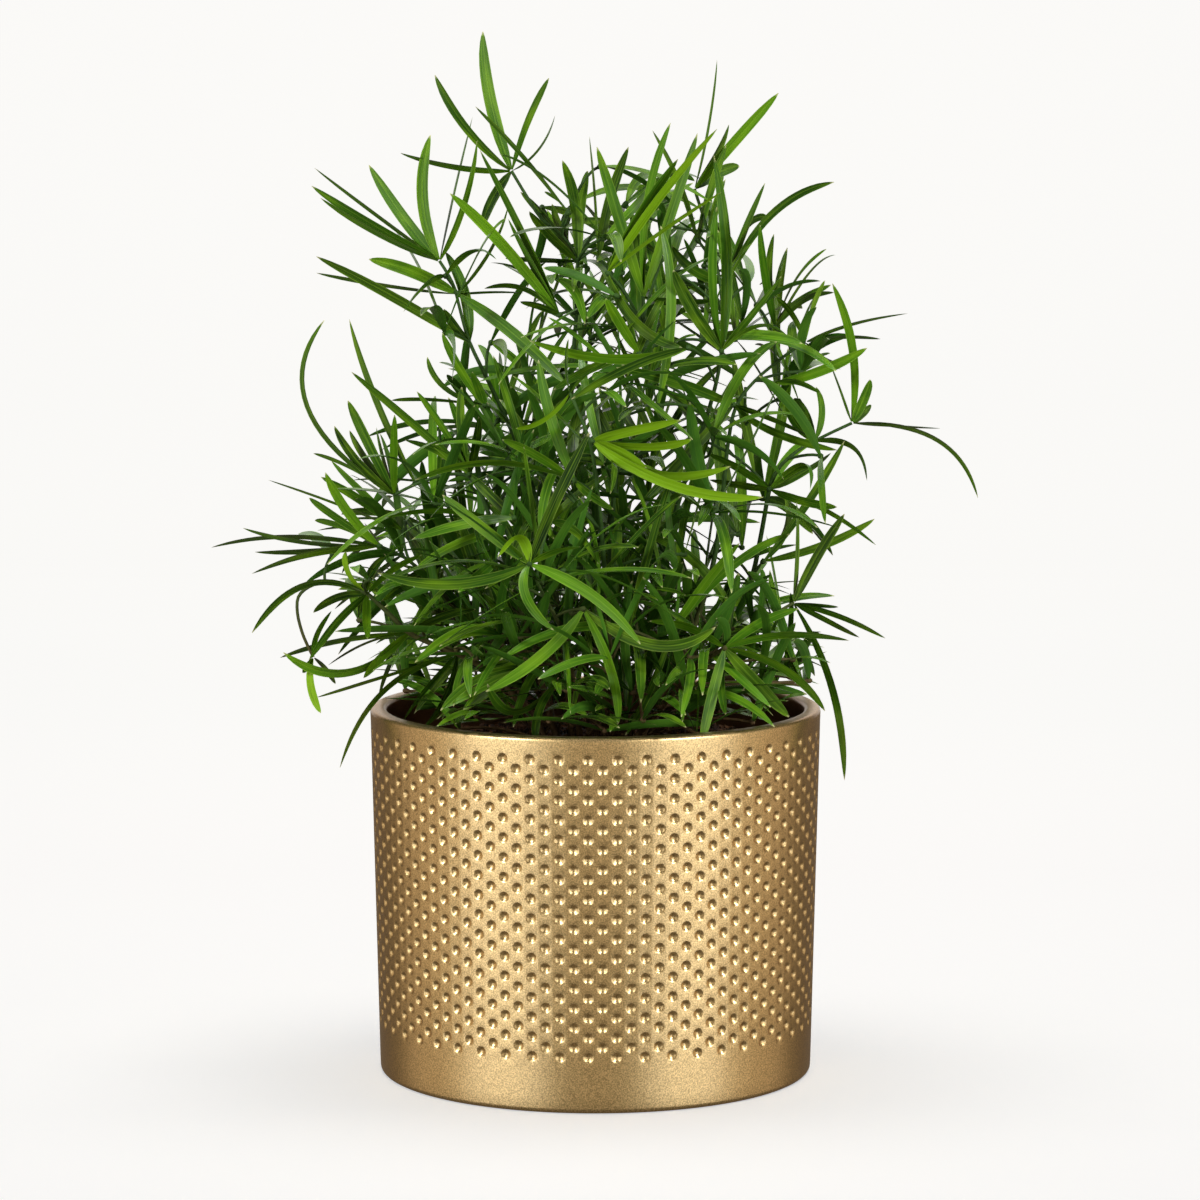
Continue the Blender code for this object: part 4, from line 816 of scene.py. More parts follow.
def placeOf(point):
    # The place across and up at which the eye sees this point.
    back, high = point.y + eye["back"], point.z - eye["height"]
    reach = back * math.cos(eye["dip"]) - high * math.sin(eye["dip"])
    rise = high * math.cos(eye["dip"]) + back * math.sin(eye["dip"])
    return point.x / reach * eye["span"], rise / reach * eye["span"] + eye["level"]


def inCrown(point, outline=crownOutline):
    across, up = placeOf(point)
    inside = False
    for (a0, u0), (a1, u1) in zip(outline, outline[1:] + outline[:1]):
        if (u0 > up) != (u1 > up) and across < a0 + (up - u0) / (u1 - u0) * (a1 - a0):
            inside = not inside
    return inside and abs(point.y) < crownDepth


def clearOfPot(point, room=leafPlan["potRoom"]):
    # Above the soil inside the pot, above the lip over its wall, and anywhere outside it.
    radius = math.hypot(point.x, point.y)
    if radius > potPlan["rimRadius"] + room:
        return point.z > leafPlan["groundRoom"]
    if radius > potPlan["rimRadius"] - potPlan["wall"] - room:
        return point.z > potPlan["height"] + room
    return point.z > soilTop + leafPlan["soilRoom"]


def bezier(start, bow, end, t):
    return (1 - t) ** 2 * start + 2 * t * (1 - t) * bow + t ** 2 * end


def smoothRoute(points, perSpan=2):
    # A Catmull-Rom curve through the points.
    ends = [2 * points[0] - points[1], *points, 2 * points[-1] - points[-2]]
    route = []
    for a, b, c, d in zip(ends, ends[1:], ends[2:], ends[3:]):
        for t in (k / perSpan for k in range(perSpan)):
            route.append(0.5 * ((2 * b) + (c - a) * t + (2 * a - 5 * b + 4 * c - d) * t ** 2
                                + (3 * b - a - 3 * c + d) * t ** 3))
    return [*route, points[-1]]


def tube(points, radii, sides):
    # A closed tube of so many sides along the points.
    verts, faces = [], []
    side = Vector((1, 0.1, 0))
    for k, (point, radius) in enumerate(zip(points, radii)):
        along = points[min(k + 1, len(points) - 1)] - points[max(k - 1, 0)]
        side = (side - along * side.dot(along) / along.length_squared).normalized()
        other = along.normalized().cross(side)
        for s in range(sides):
            turn = 2 * math.pi * s / sides
            verts.append(point + radius * (math.cos(turn) * side + math.sin(turn) * other))
    for k in range(len(points) - 1):
        for s in range(sides):
            a, b = k * sides + s, k * sides + (s + 1) % sides
            faces.append((a, b, b + sides, a + sides))
    faces.append(tuple(reversed(range(sides))))
    faces.append(tuple(range(len(verts) - sides, len(verts))))
    return verts, faces


def curvePoint(leaf, t):
    return bezier(leaf["base"], leaf["bow"], leaf["tip"], t)


def curveAlong(leaf, t):
    base, bow, tip = leaf["base"], leaf["bow"], leaf["tip"]
    return ((1 - t) * (bow - base) + t * (tip - bow)).normalized()


def bladeRings(leaf, extra=0.0, outer=False):
    # Rings of three corners along the leaf's curve. Extra thickens the blade on all sides, and outer
    # leaves out its root.
    stations = ((0.0, 0.45), (0.42, 1.0))
    if leaf["bend"] > leafPlan["slightBend"]:
        stations = ((0.0, 0.45), (0.30, 0.92), (0.66, 0.84))
    if leaf["bend"] > leafPlan["strongBend"]:
        stations = ((0.0, 0.45), (0.25, 0.85), (0.5, 1.0), (0.76, 0.68))
    if outer:
        stations = ((0.28, 0.85), *(pair for pair in stations if pair[0] > 0.3))
    rings = []
    for t, share in stations:
        point, along = curvePoint(leaf, t), curveAlong(leaf, t)
        side = along.cross(leaf["face"]).normalized()
        normal = side.cross(along)
        half = 0.5 * leaf["width"] * share + extra
        low = 0.35 * leafPlan["thickness"] + extra
        high = 0.65 * leafPlan["thickness"] + extra
        rings.append([point - half * side - low * normal, point + high * normal,
                      point + half * side - low * normal])
    return rings, leaf["tip"] + 2 * extra * curveAlong(leaf, 1.0)


def loft(first, rings, tip, start):
    # Faces from the corners numbered first through three-cornered rings, whose corners are numbered
    # from start, to the tip or to a flat end. Also all the new corners.
    verts = [corner for one in rings for corner in one]
    faces = []
    for k in range(len(rings)):
        above = [start + 3 * k + s for s in range(3)]
        for s in range(3):
            n = (s + 1) % 3
            faces += [(first[s], first[n], above[n]), (first[s], above[n], above[s])]
        first = above
    if tip is None:
        return verts, [*faces, tuple(first)]
    faces += [(first[s], first[(s + 1) % 3], start + len(verts)) for s in range(3)]
    return [*verts, tip], faces


def blade(leaf, extra=0.0, outer=False):
    # The leaf as a closed shape of its own.
    rings, tip = bladeRings(leaf, extra, outer)
    verts, faces = loft([0, 1, 2], rings[1:], tip, 3)
    return [*rings[0], *verts], [(2, 1, 0), *faces]


def swollen(ring):
    centre = sum(ring, Vector()) / 3
    return [corner + leafPlan["clearance"] * (corner - centre).normalized() for corner in ring]


def treeOf(verts, faces):
    return BVHTree.FromPolygons([tuple(vert) for vert in verts], faces)


class Whorl:
    # A small hub of twenty faces. A branch and the leaves leave it, each from a face of its own.
    # Every hub is turned a little differently.
    def __init__(self, spot, thicket, owner):
        bm = bmesh.new()
        bmesh.ops.create_icosphere(bm, subdivisions=1, radius=stemPlan["hubRadius"])
        bmesh.ops.rotate(bm, matrix=Matrix.Rotation(0.2 * spot.z, 3, "Z"), verts=bm.verts)
        bm.normal_update()
        self.verts = [spot + vert.co for vert in bm.verts]
        self.faces = [tuple(vert.index for vert in face.verts) for face in bm.faces]
        self.free = {face: one.normal.copy() for face, one in zip(self.faces, bm.faces)}
        self.thicket, self.owner = thicket, owner
        self.branch, self.leaves = [], []
        bm.free()

    def grow(self, way, rings, tip):
        # Grows the rings out of the free face that looks their way, unless that would cross.
        root = max(self.free, key=lambda face: self.free[face].dot(way))
        if self.free[root].dot(way) < math.cos(stemPlan["mostLean"]):
            return
        corners = [self.verts[k] for k in root]
        middle, centre = sum(corners, Vector()) / 3, sum(rings[0], Vector()) / 3
        turn = min(range(3), key=lambda turn: sum((
            (corners[(s + turn) % 3] - middle).normalized() - (rings[0][s] - centre).normalized()
        ).length for s in range(3)))
        first = [root[(s + turn) % 3] for s in range(3)]
        wide, sides = loft([0, 1, 2], [swollen(one) for one in rings], tip, 3)
        if self.thicket.meets(self.owner, [*swollen([self.verts[k] for k in first]), *wide], sides):
            return
        verts, faces = loft(first, rings, tip, len(self.verts))
        grown = [*(self.verts[k] for k in first), *verts]
        kept = [face for face in self.faces if face != root]
        moved = [vert + stemPlan["slip"] * way for vert in grown]
        if treeOf(moved, sides).overlap(treeOf(self.verts, kept)):
            return
        self.thicket.add(self.owner, grown, sides)
        self.verts += verts
        self.faces = kept + faces
        del self.free[root]

    def addBranch(self, points):
        # the points run from the hub down to the stem
        self.branch = points
        verts, _ = tube(points, [0.5 * stemPlan["branchThickness"]] * len(points), 3)
        rings = [verts[3 * k:3 * k + 3] for k in range(1, len(points))]
        self.grow((points[1] - points[0]).normalized(), rings, None)

    def addLeaf(self, leaf):
        self.leaves.append(leaf)
        rings, tip = bladeRings(leaf)
        self.grow(curveAlong(leaf, 0.0), rings[1:], tip)
        self.thicket.add(self.owner, *blade(leaf))
        self.thicket.own.add(self.owner, *blade(leaf, outer=True))


class Thicket:
    # What has grown so far, so that nothing new grows through it. Own holds each leaf without its
    # root, for a leaf among others of its own stem.
    def __init__(self, own=None):
        self.owners, self.lows, self.highs, self.trees = [], [], [], []
        self.own, self.front = own, {}

    def add(self, owner, verts, faces):
        rows = np.array([tuple(vert) for vert in verts])
        self.owners.append(owner)
        self.lows.append(rows.min(axis=0))
        self.highs.append(rows.max(axis=0))
        self.trees.append(treeOf(verts, faces))

    def meets(self, owner, verts, faces):
        # Whether the shape meets another owner's.
        if not self.owners:
            return False
        rows = np.array([tuple(vert) for vert in verts])
        near = (np.all(np.array(self.lows) < rows.max(axis=0), axis=1)
                & np.all(np.array(self.highs) > rows.min(axis=0), axis=1))
        others = [k for k in np.flatnonzero(near) if self.owners[k] != owner]
        if not others:
            return False
        tree = treeOf(verts, faces)
        return any(tree.overlap(self.trees[k]) for k in others)


def makeLeaf(base, tip, middle, width, face):
    bow = 2 * middle - 0.5 * (base + tip)
    start = base + 0.5 * (bow - base).normalized()
    bend = (middle - 0.5 * (base + tip)).length
    return {"base": start, "tip": tip, "bow": bow, "width": width, "face": face, "bend": bend}


def leafIsClear(thicket, owner, leaf, strict=True):
    # Clear of the pot and of the other stems and, if strict, of its own stem past its root.
    if not all(clearOfPot(curvePoint(leaf, t)) for t in (0.15, 0.3, 0.45, 0.6, 0.75, 0.9, 1.0)):
        return False
    if thicket.meets(owner, *blade(leaf, leafPlan["clearance"])):
        return False
    return not strict or not thicket.own.meets(None, *blade(leaf, 0.1, outer=True))


def chosenLeaf(spot, look, shift, tilt):
    # A leaf as the eye sees it. Shift moves it along the line of sight, and tilt turns it.
    across, up, depth, midAcross, midUp, shown = look[:6]
    base = seen(*spot)
    end = seen(across, up, spot[2] + depth + shift)
    mid = seen(midAcross, midUp, spot[2] + 0.4 * (depth + shift))
    least = leafPlan["width" if shown > leafPlan["edgeOn"] else "edgeOnWidth"]
    width = max(least, leafPlan["spareWidth"] * shown)
    away = math.acos(min(1.0, shown / width))
    toEye = Vector((0, -eye["back"], eye["height"])) - mid
    along = (end - base).normalized()
    face = (toEye - along * toEye.dot(along)).normalized()
    upSide = 1 if along.cross(face).z < 0 else -1
    return makeLeaf(base, end, mid, width, Matrix.Rotation(upSide * away + tilt, 3, along) @ face)


def growChosen(thicket, owner, spot, look):
    # The chosen leaf, bent along the line of sight until it is clear of the other stems.
    for strict in (True, False):
        for tilt in leafPlan["tilts"]:
            for shift in leafPlan["shifts"]:
                leaf = chosenLeaf(spot, look, shift, tilt)
                if leafIsClear(thicket, owner, leaf, strict):
                    leaf["tone"] = look[6] if len(look) > 6 else ""
                    return leaf
    return None


def growPlain(thicket, owner, spot, axis, turn, draw, finer=False):
    # A leaf by rule: it leans out of the whorl's axis at this turn, and arches over a little.
    plan = leafPlan
    side = axis.orthogonal().normalized()
    for tries in range(plan["tries"]):
        lean = math.radians(draw.uniform(*plan["lean"]))
        turned = turn + draw.uniform(-plan["turnSpread"], plan["turnSpread"])
        roundAxis = Matrix.Rotation(turned, 3, axis)
        way = math.cos(lean) * axis + math.sin(lean) * (roundAxis @ side)
        length = draw.uniform(*plan["finerLengths" if finer else "lengths"])
        length *= 1.0 if tries < plan["tries"] / 2 else plan["short"]
        droop = draw.uniform(*plan["droop"]) * length
        tip = spot + length * way - droop * zUp
        sway = way.cross(zUp).normalized() * draw.uniform(-plan["sway"], plan["sway"]) * length
        middle = spot + 0.5 * length * way + plan["arch"] * droop * zUp + sway
        width = plan["width"] * draw.uniform(*plan["widths"]) * (plan["finerWidth"] if finer else 1.0)
        roll = Matrix.Rotation(draw.gauss(0, plan["roll"]), 3, way)
        face = roll @ (zUp - way * way.z + 0.02 * axis).normalized()
        leaf = makeLeaf(spot, tip, middle, width, face)
        if finer and (inThinSpot(leaf) or hidesChosen(thicket, leaf) or not inCrown(tip, crownHeart)):
            continue
        if inCrown(tip) and inCrown(middle) and leafIsClear(thicket, owner, leaf):
            return leaf
    return None


def inThinSpot(leaf):
    places = [placeOf(curvePoint(leaf, t)) for t in (0.35, 0.5, 0.65, 0.8, 0.95)]
    return any(math.hypot(across - a, up - u) < far for across, up in places for a, u, far in thinSpots)


def cellOf(point):
    return tuple(round(place / leafPlan["cell"]) for place in placeOf(point))


def markChosen(thicket, whorls):
    # How near the eye the chosen leaves are, in cells of the picture.
    for whorl in (whorl for some in whorls.values() for whorl in some):
        for leaf in (leaf for leaf in whorl.leaves if "tone" in leaf):
            for point in (curvePoint(leaf, k / 24) for k in range(25)):
                cell = cellOf(point)
                thicket.front[cell] = min(point.y, thicket.front.get(cell, 1000))


def hidesChosen(thicket, leaf):
    points = [curvePoint(leaf, k / 10) for k in range(1, 11)]
    return any(point.y < thicket.front.get(cellOf(point), -1000) for point in points)


def growBranch(thicket, owner, route, spot, draw):
    # The points of a thin branch from a whorl down to the stem, none if the whorl is on the stem.
    plan = stemPlan
    drop = spot.z - plan["branchDrop"]
    lower = [k for k, point in enumerate(route[:-1]) if point.z < spot.z + 2] or [0]
    start = min(lower, key=lambda k: (route[k] - spot).length + 0.35 * abs(drop - route[k].z))
    leave = route[start]
    if min((leave - spot).length, (route[-1] - spot).length) < plan["hubRadius"] - plan["hubSlack"]:
        return []
    for tries in range(plan["branchTries"]):
        push = Vector([draw.uniform(-1, 1) for _ in range(3)]) * (plan["branchPush"] * tries)
        lean = plan["branchLean"] * (spot - leave).length * (route[start + 1] - leave).normalized()
        points = [spot, 0.5 * (leave + spot) + lean + push, leave]
        wide = tube(points, [0.5 * plan["branchThickness"] + leafPlan["clearance"]] * 3, 3)
        if not thicket.meets(owner, *wide) and all(clearOfPot(p) for p in points[:2]):
            return points
    return None


def stemRoute(name):
    plan = stems[name]
    foot = Vector((*plan["foot"], soilTop - soilPlan["holeDepth"] + soilPlan["holeGap"]))
    straight = Vector((*plan["foot"], soilTop + 2))
    return [foot, *smoothRoute([straight, *(seen(*place) for place in plan["route"])])]


def stemRadii(count):
    # half the thickness at so many points up a stem
    foot, tip = stemPlan["footThickness"], stemPlan["tipThickness"]
    return [0.5 * (foot + (tip - foot) * min(1.0, 1.3 * k / (count - 1))) for k in range(count)]


def growPlants():
    # the whorls of every stem, in the order in which the solids have them
    thicket = Thicket(Thicket())
    whorls = {name: [] for name in stems}
    routes = {name: stemRoute(name) for name in stems}
    for name, route in routes.items():
        thicket.add(name, *tube(route, stemRadii(len(route)), 4))
    for name, plan in stems.items():
        draw = random.Random(f"{name} {stemPlan['seed']}")
        for (across, up, depth), *leaves in plan["whorls"]:
            for shift in stemPlan["shifts"]:
                spot = (across, up, depth + shift)
                whorl = startWhorl(thicket, name, routes[name], seen(*spot), draw)
                if whorl:
                    break
            else:
                continue
            for look in leaves:
                leaf = growChosen(thicket, name, spot, look)
                if leaf:
                    whorl.addLeaf(leaf)
            whorls[name].append(whorl)
    for name, plan in stems.items():
        draw = random.Random(f"{name} plain {stemPlan['seed']}")
        for number in range(plan["plain"]):
            whorl = growPlainWhorl(thicket, name, routes[name], number / plan["plain"], draw)
            if whorl:
                whorls[name].append(whorl)
    return thicket, whorls, routes


def startWhorl(thicket, name, route, spot, draw):
    hub = Whorl(spot, thicket, name)
    wider = 1 + leafPlan["clearance"] / stemPlan["hubRadius"]
    if thicket.meets(name, [spot + wider * (vert - spot) for vert in hub.verts], hub.faces):
        return None
    branch = growBranch(thicket, name, route, spot, draw)
    if branch is None:
        return None
    thicket.add(name, hub.verts, hub.faces)
    if branch:
        hub.addBranch(branch)
        thicket.add(name, *tube(branch, [0.5 * stemPlan["branchThickness"]] * 3, 3))
    return hub


def growPlainWhorl(thicket, name, route, share, draw, near=None, finer=False):
    # A branch and a whorl of leaves by rule, that far up the stem or near a place.
    low = stemPlan["lowestWhorl"]
    at = min(len(route) - 2, round((low + (1 - low) * share) * (len(route) - 1)))
    for _ in range(stemPlan["whorlTries"]):
        turn = draw.uniform(0, 2 * math.pi)
        out = Vector((math.cos(turn), math.sin(turn), 0))
        reach = draw.uniform(*stemPlan["whorlReach"])
        spot = route[at] + reach * (out + draw.uniform(*stemPlan["whorlLift"]) * zUp).normalized()
        if near:
            spot = near + stemPlan["nearSpread"] * Vector([draw.uniform(-1, 1) for _ in range(3)])
        fits = inCrown(spot) and clearOfPot(spot, leafPlan["whorlRoom"])
        whorl = startWhorl(thicket, name, route, spot, draw) if fits else None
        if whorl:
            break
    else:
        return None
    away, apart, up = stemPlan["axisShares"]
    axis = (away * out + Vector((spot.x, spot.y, 0)) * apart + up * zUp).normalized()
    count = draw.choice(stemPlan["leafCounts"])
    for k in range(count):
        leaf = growPlain(thicket, name, spot, axis, 2 * math.pi * k / count, draw, finer)
        if leaf:
            whorl.addLeaf(leaf)
    return whorl


def growNear(spots, thicket, whorls, routes, draw):
    # a finer whorl near each spot, on the stem that passes it closest
    for near in (seen(*place) for place in spots):
        name = min(routes, key=lambda one: min((point - near).length for point in routes[one]))
        whorl = growPlainWhorl(thicket, name, routes[name], 0, draw, near, True)
        if whorl:
            whorls[name].append(whorl)


def growMore(thicket, whorls, routes):
    # Whorls that the solids leave out: the same rule again with narrower leaves, first at the densest
    # places, then all over with more of them low, and last where the crown was still too thin.
    markChosen(thicket, whorls)
    draw = random.Random(f"more {stemPlan['seed']}")
    growNear(fullSpots, thicket, whorls, routes, draw)
    names = list(stems)
    for number in range(stemPlan["moreWhorls"]):
        name = names[number % len(names)]
        share = draw.random() * (stemPlan["lowPart"] if draw.random() < stemPlan["lowShare"] else 1.0)
        whorl = growPlainWhorl(thicket, name, routes[name], share, draw, None, True)
        if whorl and len(whorl.leaves) > 1:
            whorls[name].append(whorl)
    growNear(lateSpots, thicket, whorls, routes, random.Random(f"late {stemPlan['seed']}"))


def leafFinish():
    # Waxy living leaves of sicklethorn: glossy green that yellows in soft patches, with a paler midrib
    # and lengthwise veins, a thin pale margin, a duller underside, a cream point, and yellower young
    # leaves. The veins are drawn four times as coarse as they are.
    look = leafLook
    made, tree, shader = newMaterial("Waxy fern leaf")
    along, across, under, tone = (
        addNode(tree, "ShaderNodeAttribute", {"attribute_name": name}).outputs[output] for name, output in (
            ("leafAlong", "Fac"), ("leafAcross", "Fac"), ("leafUnder", "Fac"), ("leafTone", "Vector")))
    young, freshAndLit, chance = addNode(tree, "ShaderNodeSeparateXYZ", {0: tone}).outputs
    # how often each noise changes over a blade, and how far chance moves it from leaf to leaf
    clouds = []
    for axes, sizes, detail in (((across, along, chance), (3.4, 2.2, 37.0), 3.0),
                                ((along, across, chance), (2.6, 0.5, 91.0), 1.0)):
        place = addNode(tree, "ShaderNodeCombineXYZ", dict(enumerate(axes)))
        spread = addNode(tree, "ShaderNodeVectorMath", {"operation": "MULTIPLY", 0: place, 1: sizes})
        clouds.append(addNode(tree, "ShaderNodeTexNoise", {
            "Scale": 1.0, "Detail": detail, "Vector": spread}))
    veins, patches = clouds
    out = addNode(tree, "ShaderNodeMath", {"operation": "ABSOLUTE", 0: across})
    # The dark old colour also stands for painted shade, where toneOf has made a leaf less fresh inside the
    # crown.
    colour = tinted(tree, look["old"], [
        (freshAndLit, 0.0, 1.0, 1.0, look["freshAndLit"]),
        (patches, 0.50, 0.72, 0.34, look["young"]),
        (young, 0.0, 1.0, 1.0, look["young"]),
        (veins, 0.46, 0.70, 0.25, look["vein"]),
        (veins, 0.46, 0.30, 0.28, look["groove"]),
        (out, 0.12, 0.02, 0.24, look["rib"]),
        (out, 0.84, 1.0, 0.34, look["margin"]),
        (under, 0.0, 1.0, 0.7, look["underside"]),
        (along, 0.965, 1.0, 0.8, look["tip"])])
    setNode(tree, shader, {
        "Base Color": colour, "Roughness": 0.27, "Specular IOR Level": 0.2,
        "Normal": addNode(tree, "ShaderNodeBump", {"Strength": 0.5, "Distance": 0.0002, "Height": veins})})
    return made


def stemFinish():
    # Green wiry stems that turn woody brown at the foot, a little streaked along their length.
    look = stemLook
    made, tree, shader = newMaterial("Wiry green stem")
    place = addNode(tree, "ShaderNodeTexCoord").outputs["Object"]
    height = addNode(tree, "ShaderNodeSeparateXYZ", {0: place}).outputs[2]
    specks = addNode(tree, "ShaderNodeTexNoise", {"Scale": 700.0, "Detail": 2.0, "Vector": place})
    green = tinted(tree, look["dark"], [(specks, 0.0, 1.0, 1.0, look["light"])])
    brown = tinted(tree, look["woodDark"], [(specks, 0.0, 1.0, 1.0, look["woodLight"])])
    high, low = mm * look["greenAbove"], mm * look["woodyBelow"]
    setNode(tree, shader, {
        "Base Color": tinted(tree, green, [(height, high, low, 1.0, brown)]),
        "Roughness": 0.65, "Specular IOR Level": 0.15})
    return made


def sweepTree():
    # Sweeps a keeled blade along the leaf lines, and a round section along the stem lines.
    tree, given = newTree("blades and stems along lines", (
        ("Fold", "Float", 0.1), ("Keel", "Float", 0.1), ("Stem sides", "Int", 6),
        ("Leaf finish", "Material", None), ("Stem finish", "Material", None)))
    read = {name: addNode(tree, "GeometryNodeInputNamedAttribute", {"data_type": kind, "Name": name})
            for name, kind in (("isLeaf", "BOOLEAN"), ("bladeNormal", "FLOAT_VECTOR"),
                               ("lineScale", "FLOAT"), ("leafAcross", "FLOAT"), ("leafKeel", "FLOAT"))}
    isStem = addNode(tree, "FunctionNodeBooleanMath", {"operation": "NOT", 0: read["isLeaf"]})
    leafLines = addNode(tree, "GeometryNodeMeshToCurve", {0: given["Geometry"], 1: read["isLeaf"]})
    stemLines = addNode(tree, "GeometryNodeMeshToCurve", {0: given["Geometry"], 1: isStem})
    turned = addNode(tree, "GeometryNodeSetCurveNormal", {
        "mode": "FREE", 0: leafLines, "Normal": read["bladeNormal"]})
    down = addNode(tree, "ShaderNodeMath", {"operation": "MULTIPLY", 0: given["Keel"], 1: -1.0})
    section = addNode(tree, "GeometryNodeCurvePrimitiveQuadrilateral", {
        "mode": "POINTS",
        "Point 1": addNode(tree, "ShaderNodeCombineXYZ", {0: given["Fold"], 1: -1.0}),
        "Point 2": (0, 0, 0),
        "Point 3": addNode(tree, "ShaderNodeCombineXYZ", {0: given["Fold"], 1: 1.0}),
        "Point 4": addNode(tree, "ShaderNodeCombineXYZ", {0: down})})
    where = addNode(tree, "ShaderNodeSeparateXYZ", {0: addNode(tree, "GeometryNodeInputPosition")}).outputs
    below = addNode(tree, "FunctionNodeCompare", {
        "operation": "LESS_THAN", "data_type": "FLOAT", 0: where["X"], 1: -0.01})
    for name, value in (("leafAcross", where["Y"]), ("leafKeel", below)):
        section = addNode(tree, "GeometryNodeStoreNamedAttribute", {
            "data_type": "FLOAT", "domain": "POINT", "Name": name, 0: section, "Value": value})
    blades = addNode(tree, "GeometryNodeCurveToMesh", {
        "Fill Caps": True, 0: turned, 1: section, "Scale": read["lineScale"]})
    underside = addNode(tree, "FunctionNodeCompare", {
        "operation": "GREATER_THAN", "data_type": "FLOAT", 0: read["leafKeel"], 1: 0.1})
    blades = addNode(tree, "GeometryNodeStoreNamedAttribute", {
        "data_type": "FLOAT", "domain": "FACE", "Name": "leafUnder", 0: blades, "Value": underside})
    side = addNode(tree, "ShaderNodeMath", {"operation": "ABSOLUTE", 0: read["leafAcross"]})
    margin = addNode(tree, "FunctionNodeCompare", {
        "operation": "GREATER_THAN", "data_type": "FLOAT", 0: side, 1: 0.99})
    crisp = addNode(tree, "GeometryNodeSetShadeSmooth", {
        "domain": "EDGE", 0: blades, "Selection": margin, "Shade Smooth": False})
    ring = addNode(tree, "GeometryNodeCurvePrimitiveCircle", {
        "Resolution": given["Stem sides"], "Radius": 1.0})
    wires = addNode(tree, "GeometryNodeCurveToMesh", {
        "Fill Caps": True, 0: stemLines, 1: ring, "Scale": read["lineScale"]})
    coated = [addNode(tree, "GeometryNodeSetMaterial", {0: shape, "Material": given[finish]})
              for shape, finish in ((wires, "Stem finish"), (crisp, "Leaf finish"))]
    joined = addNode(tree, "GeometryNodeJoinGeometry", {0: coated})
    real = addNode(tree, "GeometryNodeRealizeInstances", {0: joined})
    addNode(tree, "NodeGroupOutput", {0: real})
    return tree


class Lines:
    # Lines with what each point carries, as the sweep needs them.
    def __init__(self):
        self.verts, self.edges = [], []
        self.scale, self.normal, self.isLeaf, self.along, self.tone = [], [], [], [], []

    def add(self, points, scales, normals=None, tone=(0, 0, 0), along=None):
        first, count = len(self.verts), len(points)
        self.verts += [tuple(mm * c for c in point) for point in points]
        self.edges += [(first + k, first + k + 1) for k in range(count - 1)]
        self.scale += [mm * scale for scale in scales]
        self.normal += [tuple(normal) for normal in normals or [zUp] * count]
        self.isLeaf += [bool(normals)] * count
        self.along += along or [0.0] * count
        self.tone += [tone] * count

    def mesh(self, name):
        mesh = bpy.data.meshes.new(name)
        mesh.from_pydata(self.verts, self.edges, [])
        for label, kind, values in (
                ("lineScale", "FLOAT", self.scale), ("bladeNormal", "FLOAT_VECTOR", self.normal),
                ("isLeaf", "BOOLEAN", self.isLeaf), ("leafAlong", "FLOAT", self.along),
                ("leafTone", "FLOAT_VECTOR", self.tone)):
            layer = mesh.attributes.new(label, kind, "POINT")
            rows = np.array(values, dtype=bool if kind == "BOOLEAN" else float)
            layer.data.foreach_set("vector" if kind == "FLOAT_VECTOR" else "value", rows.ravel())
        return mesh


def toneOf(leaf, draw):
    # how young, how fresh (painted darker as painted shade deep in the crown), and a chance number for the
    # veins
    look, middle = leafLook, curvePoint(leaf, 0.5)
    # painted shade: less fresh nearer the pot's axis, and fully so from shadyFade below shadyTop
    inner = max(0.0, 1 - math.hypot(middle.x, middle.y) / look["shadyReach"])
    inner *= min(1.0, max(0.0, (look["shadyTop"] - middle.z) / look["shadyFade"]))
    young = max(0.0, draw.gauss(0.0, look["youngSpread"]))
    freshAndLit = min(1.0, max(0.0, draw.gauss(*look["freshDraw"]) - look["shade"] * inner))
    young, freshAndLit = look["marked"].get(leaf.get("tone", ""), (young, freshAndLit))
    return young, freshAndLit, draw.random()


def addLeafLine(lines, leaf, draw):
    # the more it bends, the more places along it
    count = 9 + min(10, round(leaf["bend"]))
    twist = draw.uniform(-1, 1) * leafPlan["twist"]
    where, shares = zip(*leafPlan["shape"])
    ts = [(k / count) ** 0.9 for k in range(count)]
    ts += [0.5 * (ts[-1] + 1.0), 1.0]
    points, normals, halves = [], [], []
    for t in ts:
        along = curveAlong(leaf, t)
        side = along.cross(leaf["face"]).normalized()
        points.append(curvePoint(leaf, t))
        normals.append(Matrix.Rotation(twist * (t - 0.4), 3, along) @ side.cross(along))
        halves.append(0.5 * leafPlan["slimmer"] * leaf["width"] * float(np.interp(t, where, shares)))
    lines.add(points, halves, normals, toneOf(leaf, draw), ts)


def addStemLines(lines, route, whorls):
    # the stem, then each whorl's branch, which ends in a small swelling
    finer = stemPlan["finerShare"]
    thin = 0.5 * finer * stemPlan["branchThickness"]
    ends, radii = zip(*stemPlan["swelling"])
    line = [route[0], *smoothRoute(route[1:], 3)]
    lines.add(line, [finer * radius for radius in stemRadii(len(line))])
    for spot, middle, leave in (whorl.branch for whorl in whorls if whorl.branch):
        bow = 2 * middle - 0.5 * (spot + leave)
        points = [bezier(leave, bow, spot, k / 6) for k in range(7)]
        end = (points[-1] - points[-2]).normalized()
        points[-1:] = [spot + far * end for far in (-stemPlan["swellFrom"], *ends)]
        lines.add(points, [thin] * 7 + [*radii])


def leafCount(whorls):
    return sum(len(whorl.leaves) for some in whorls.values() for whorl in some)


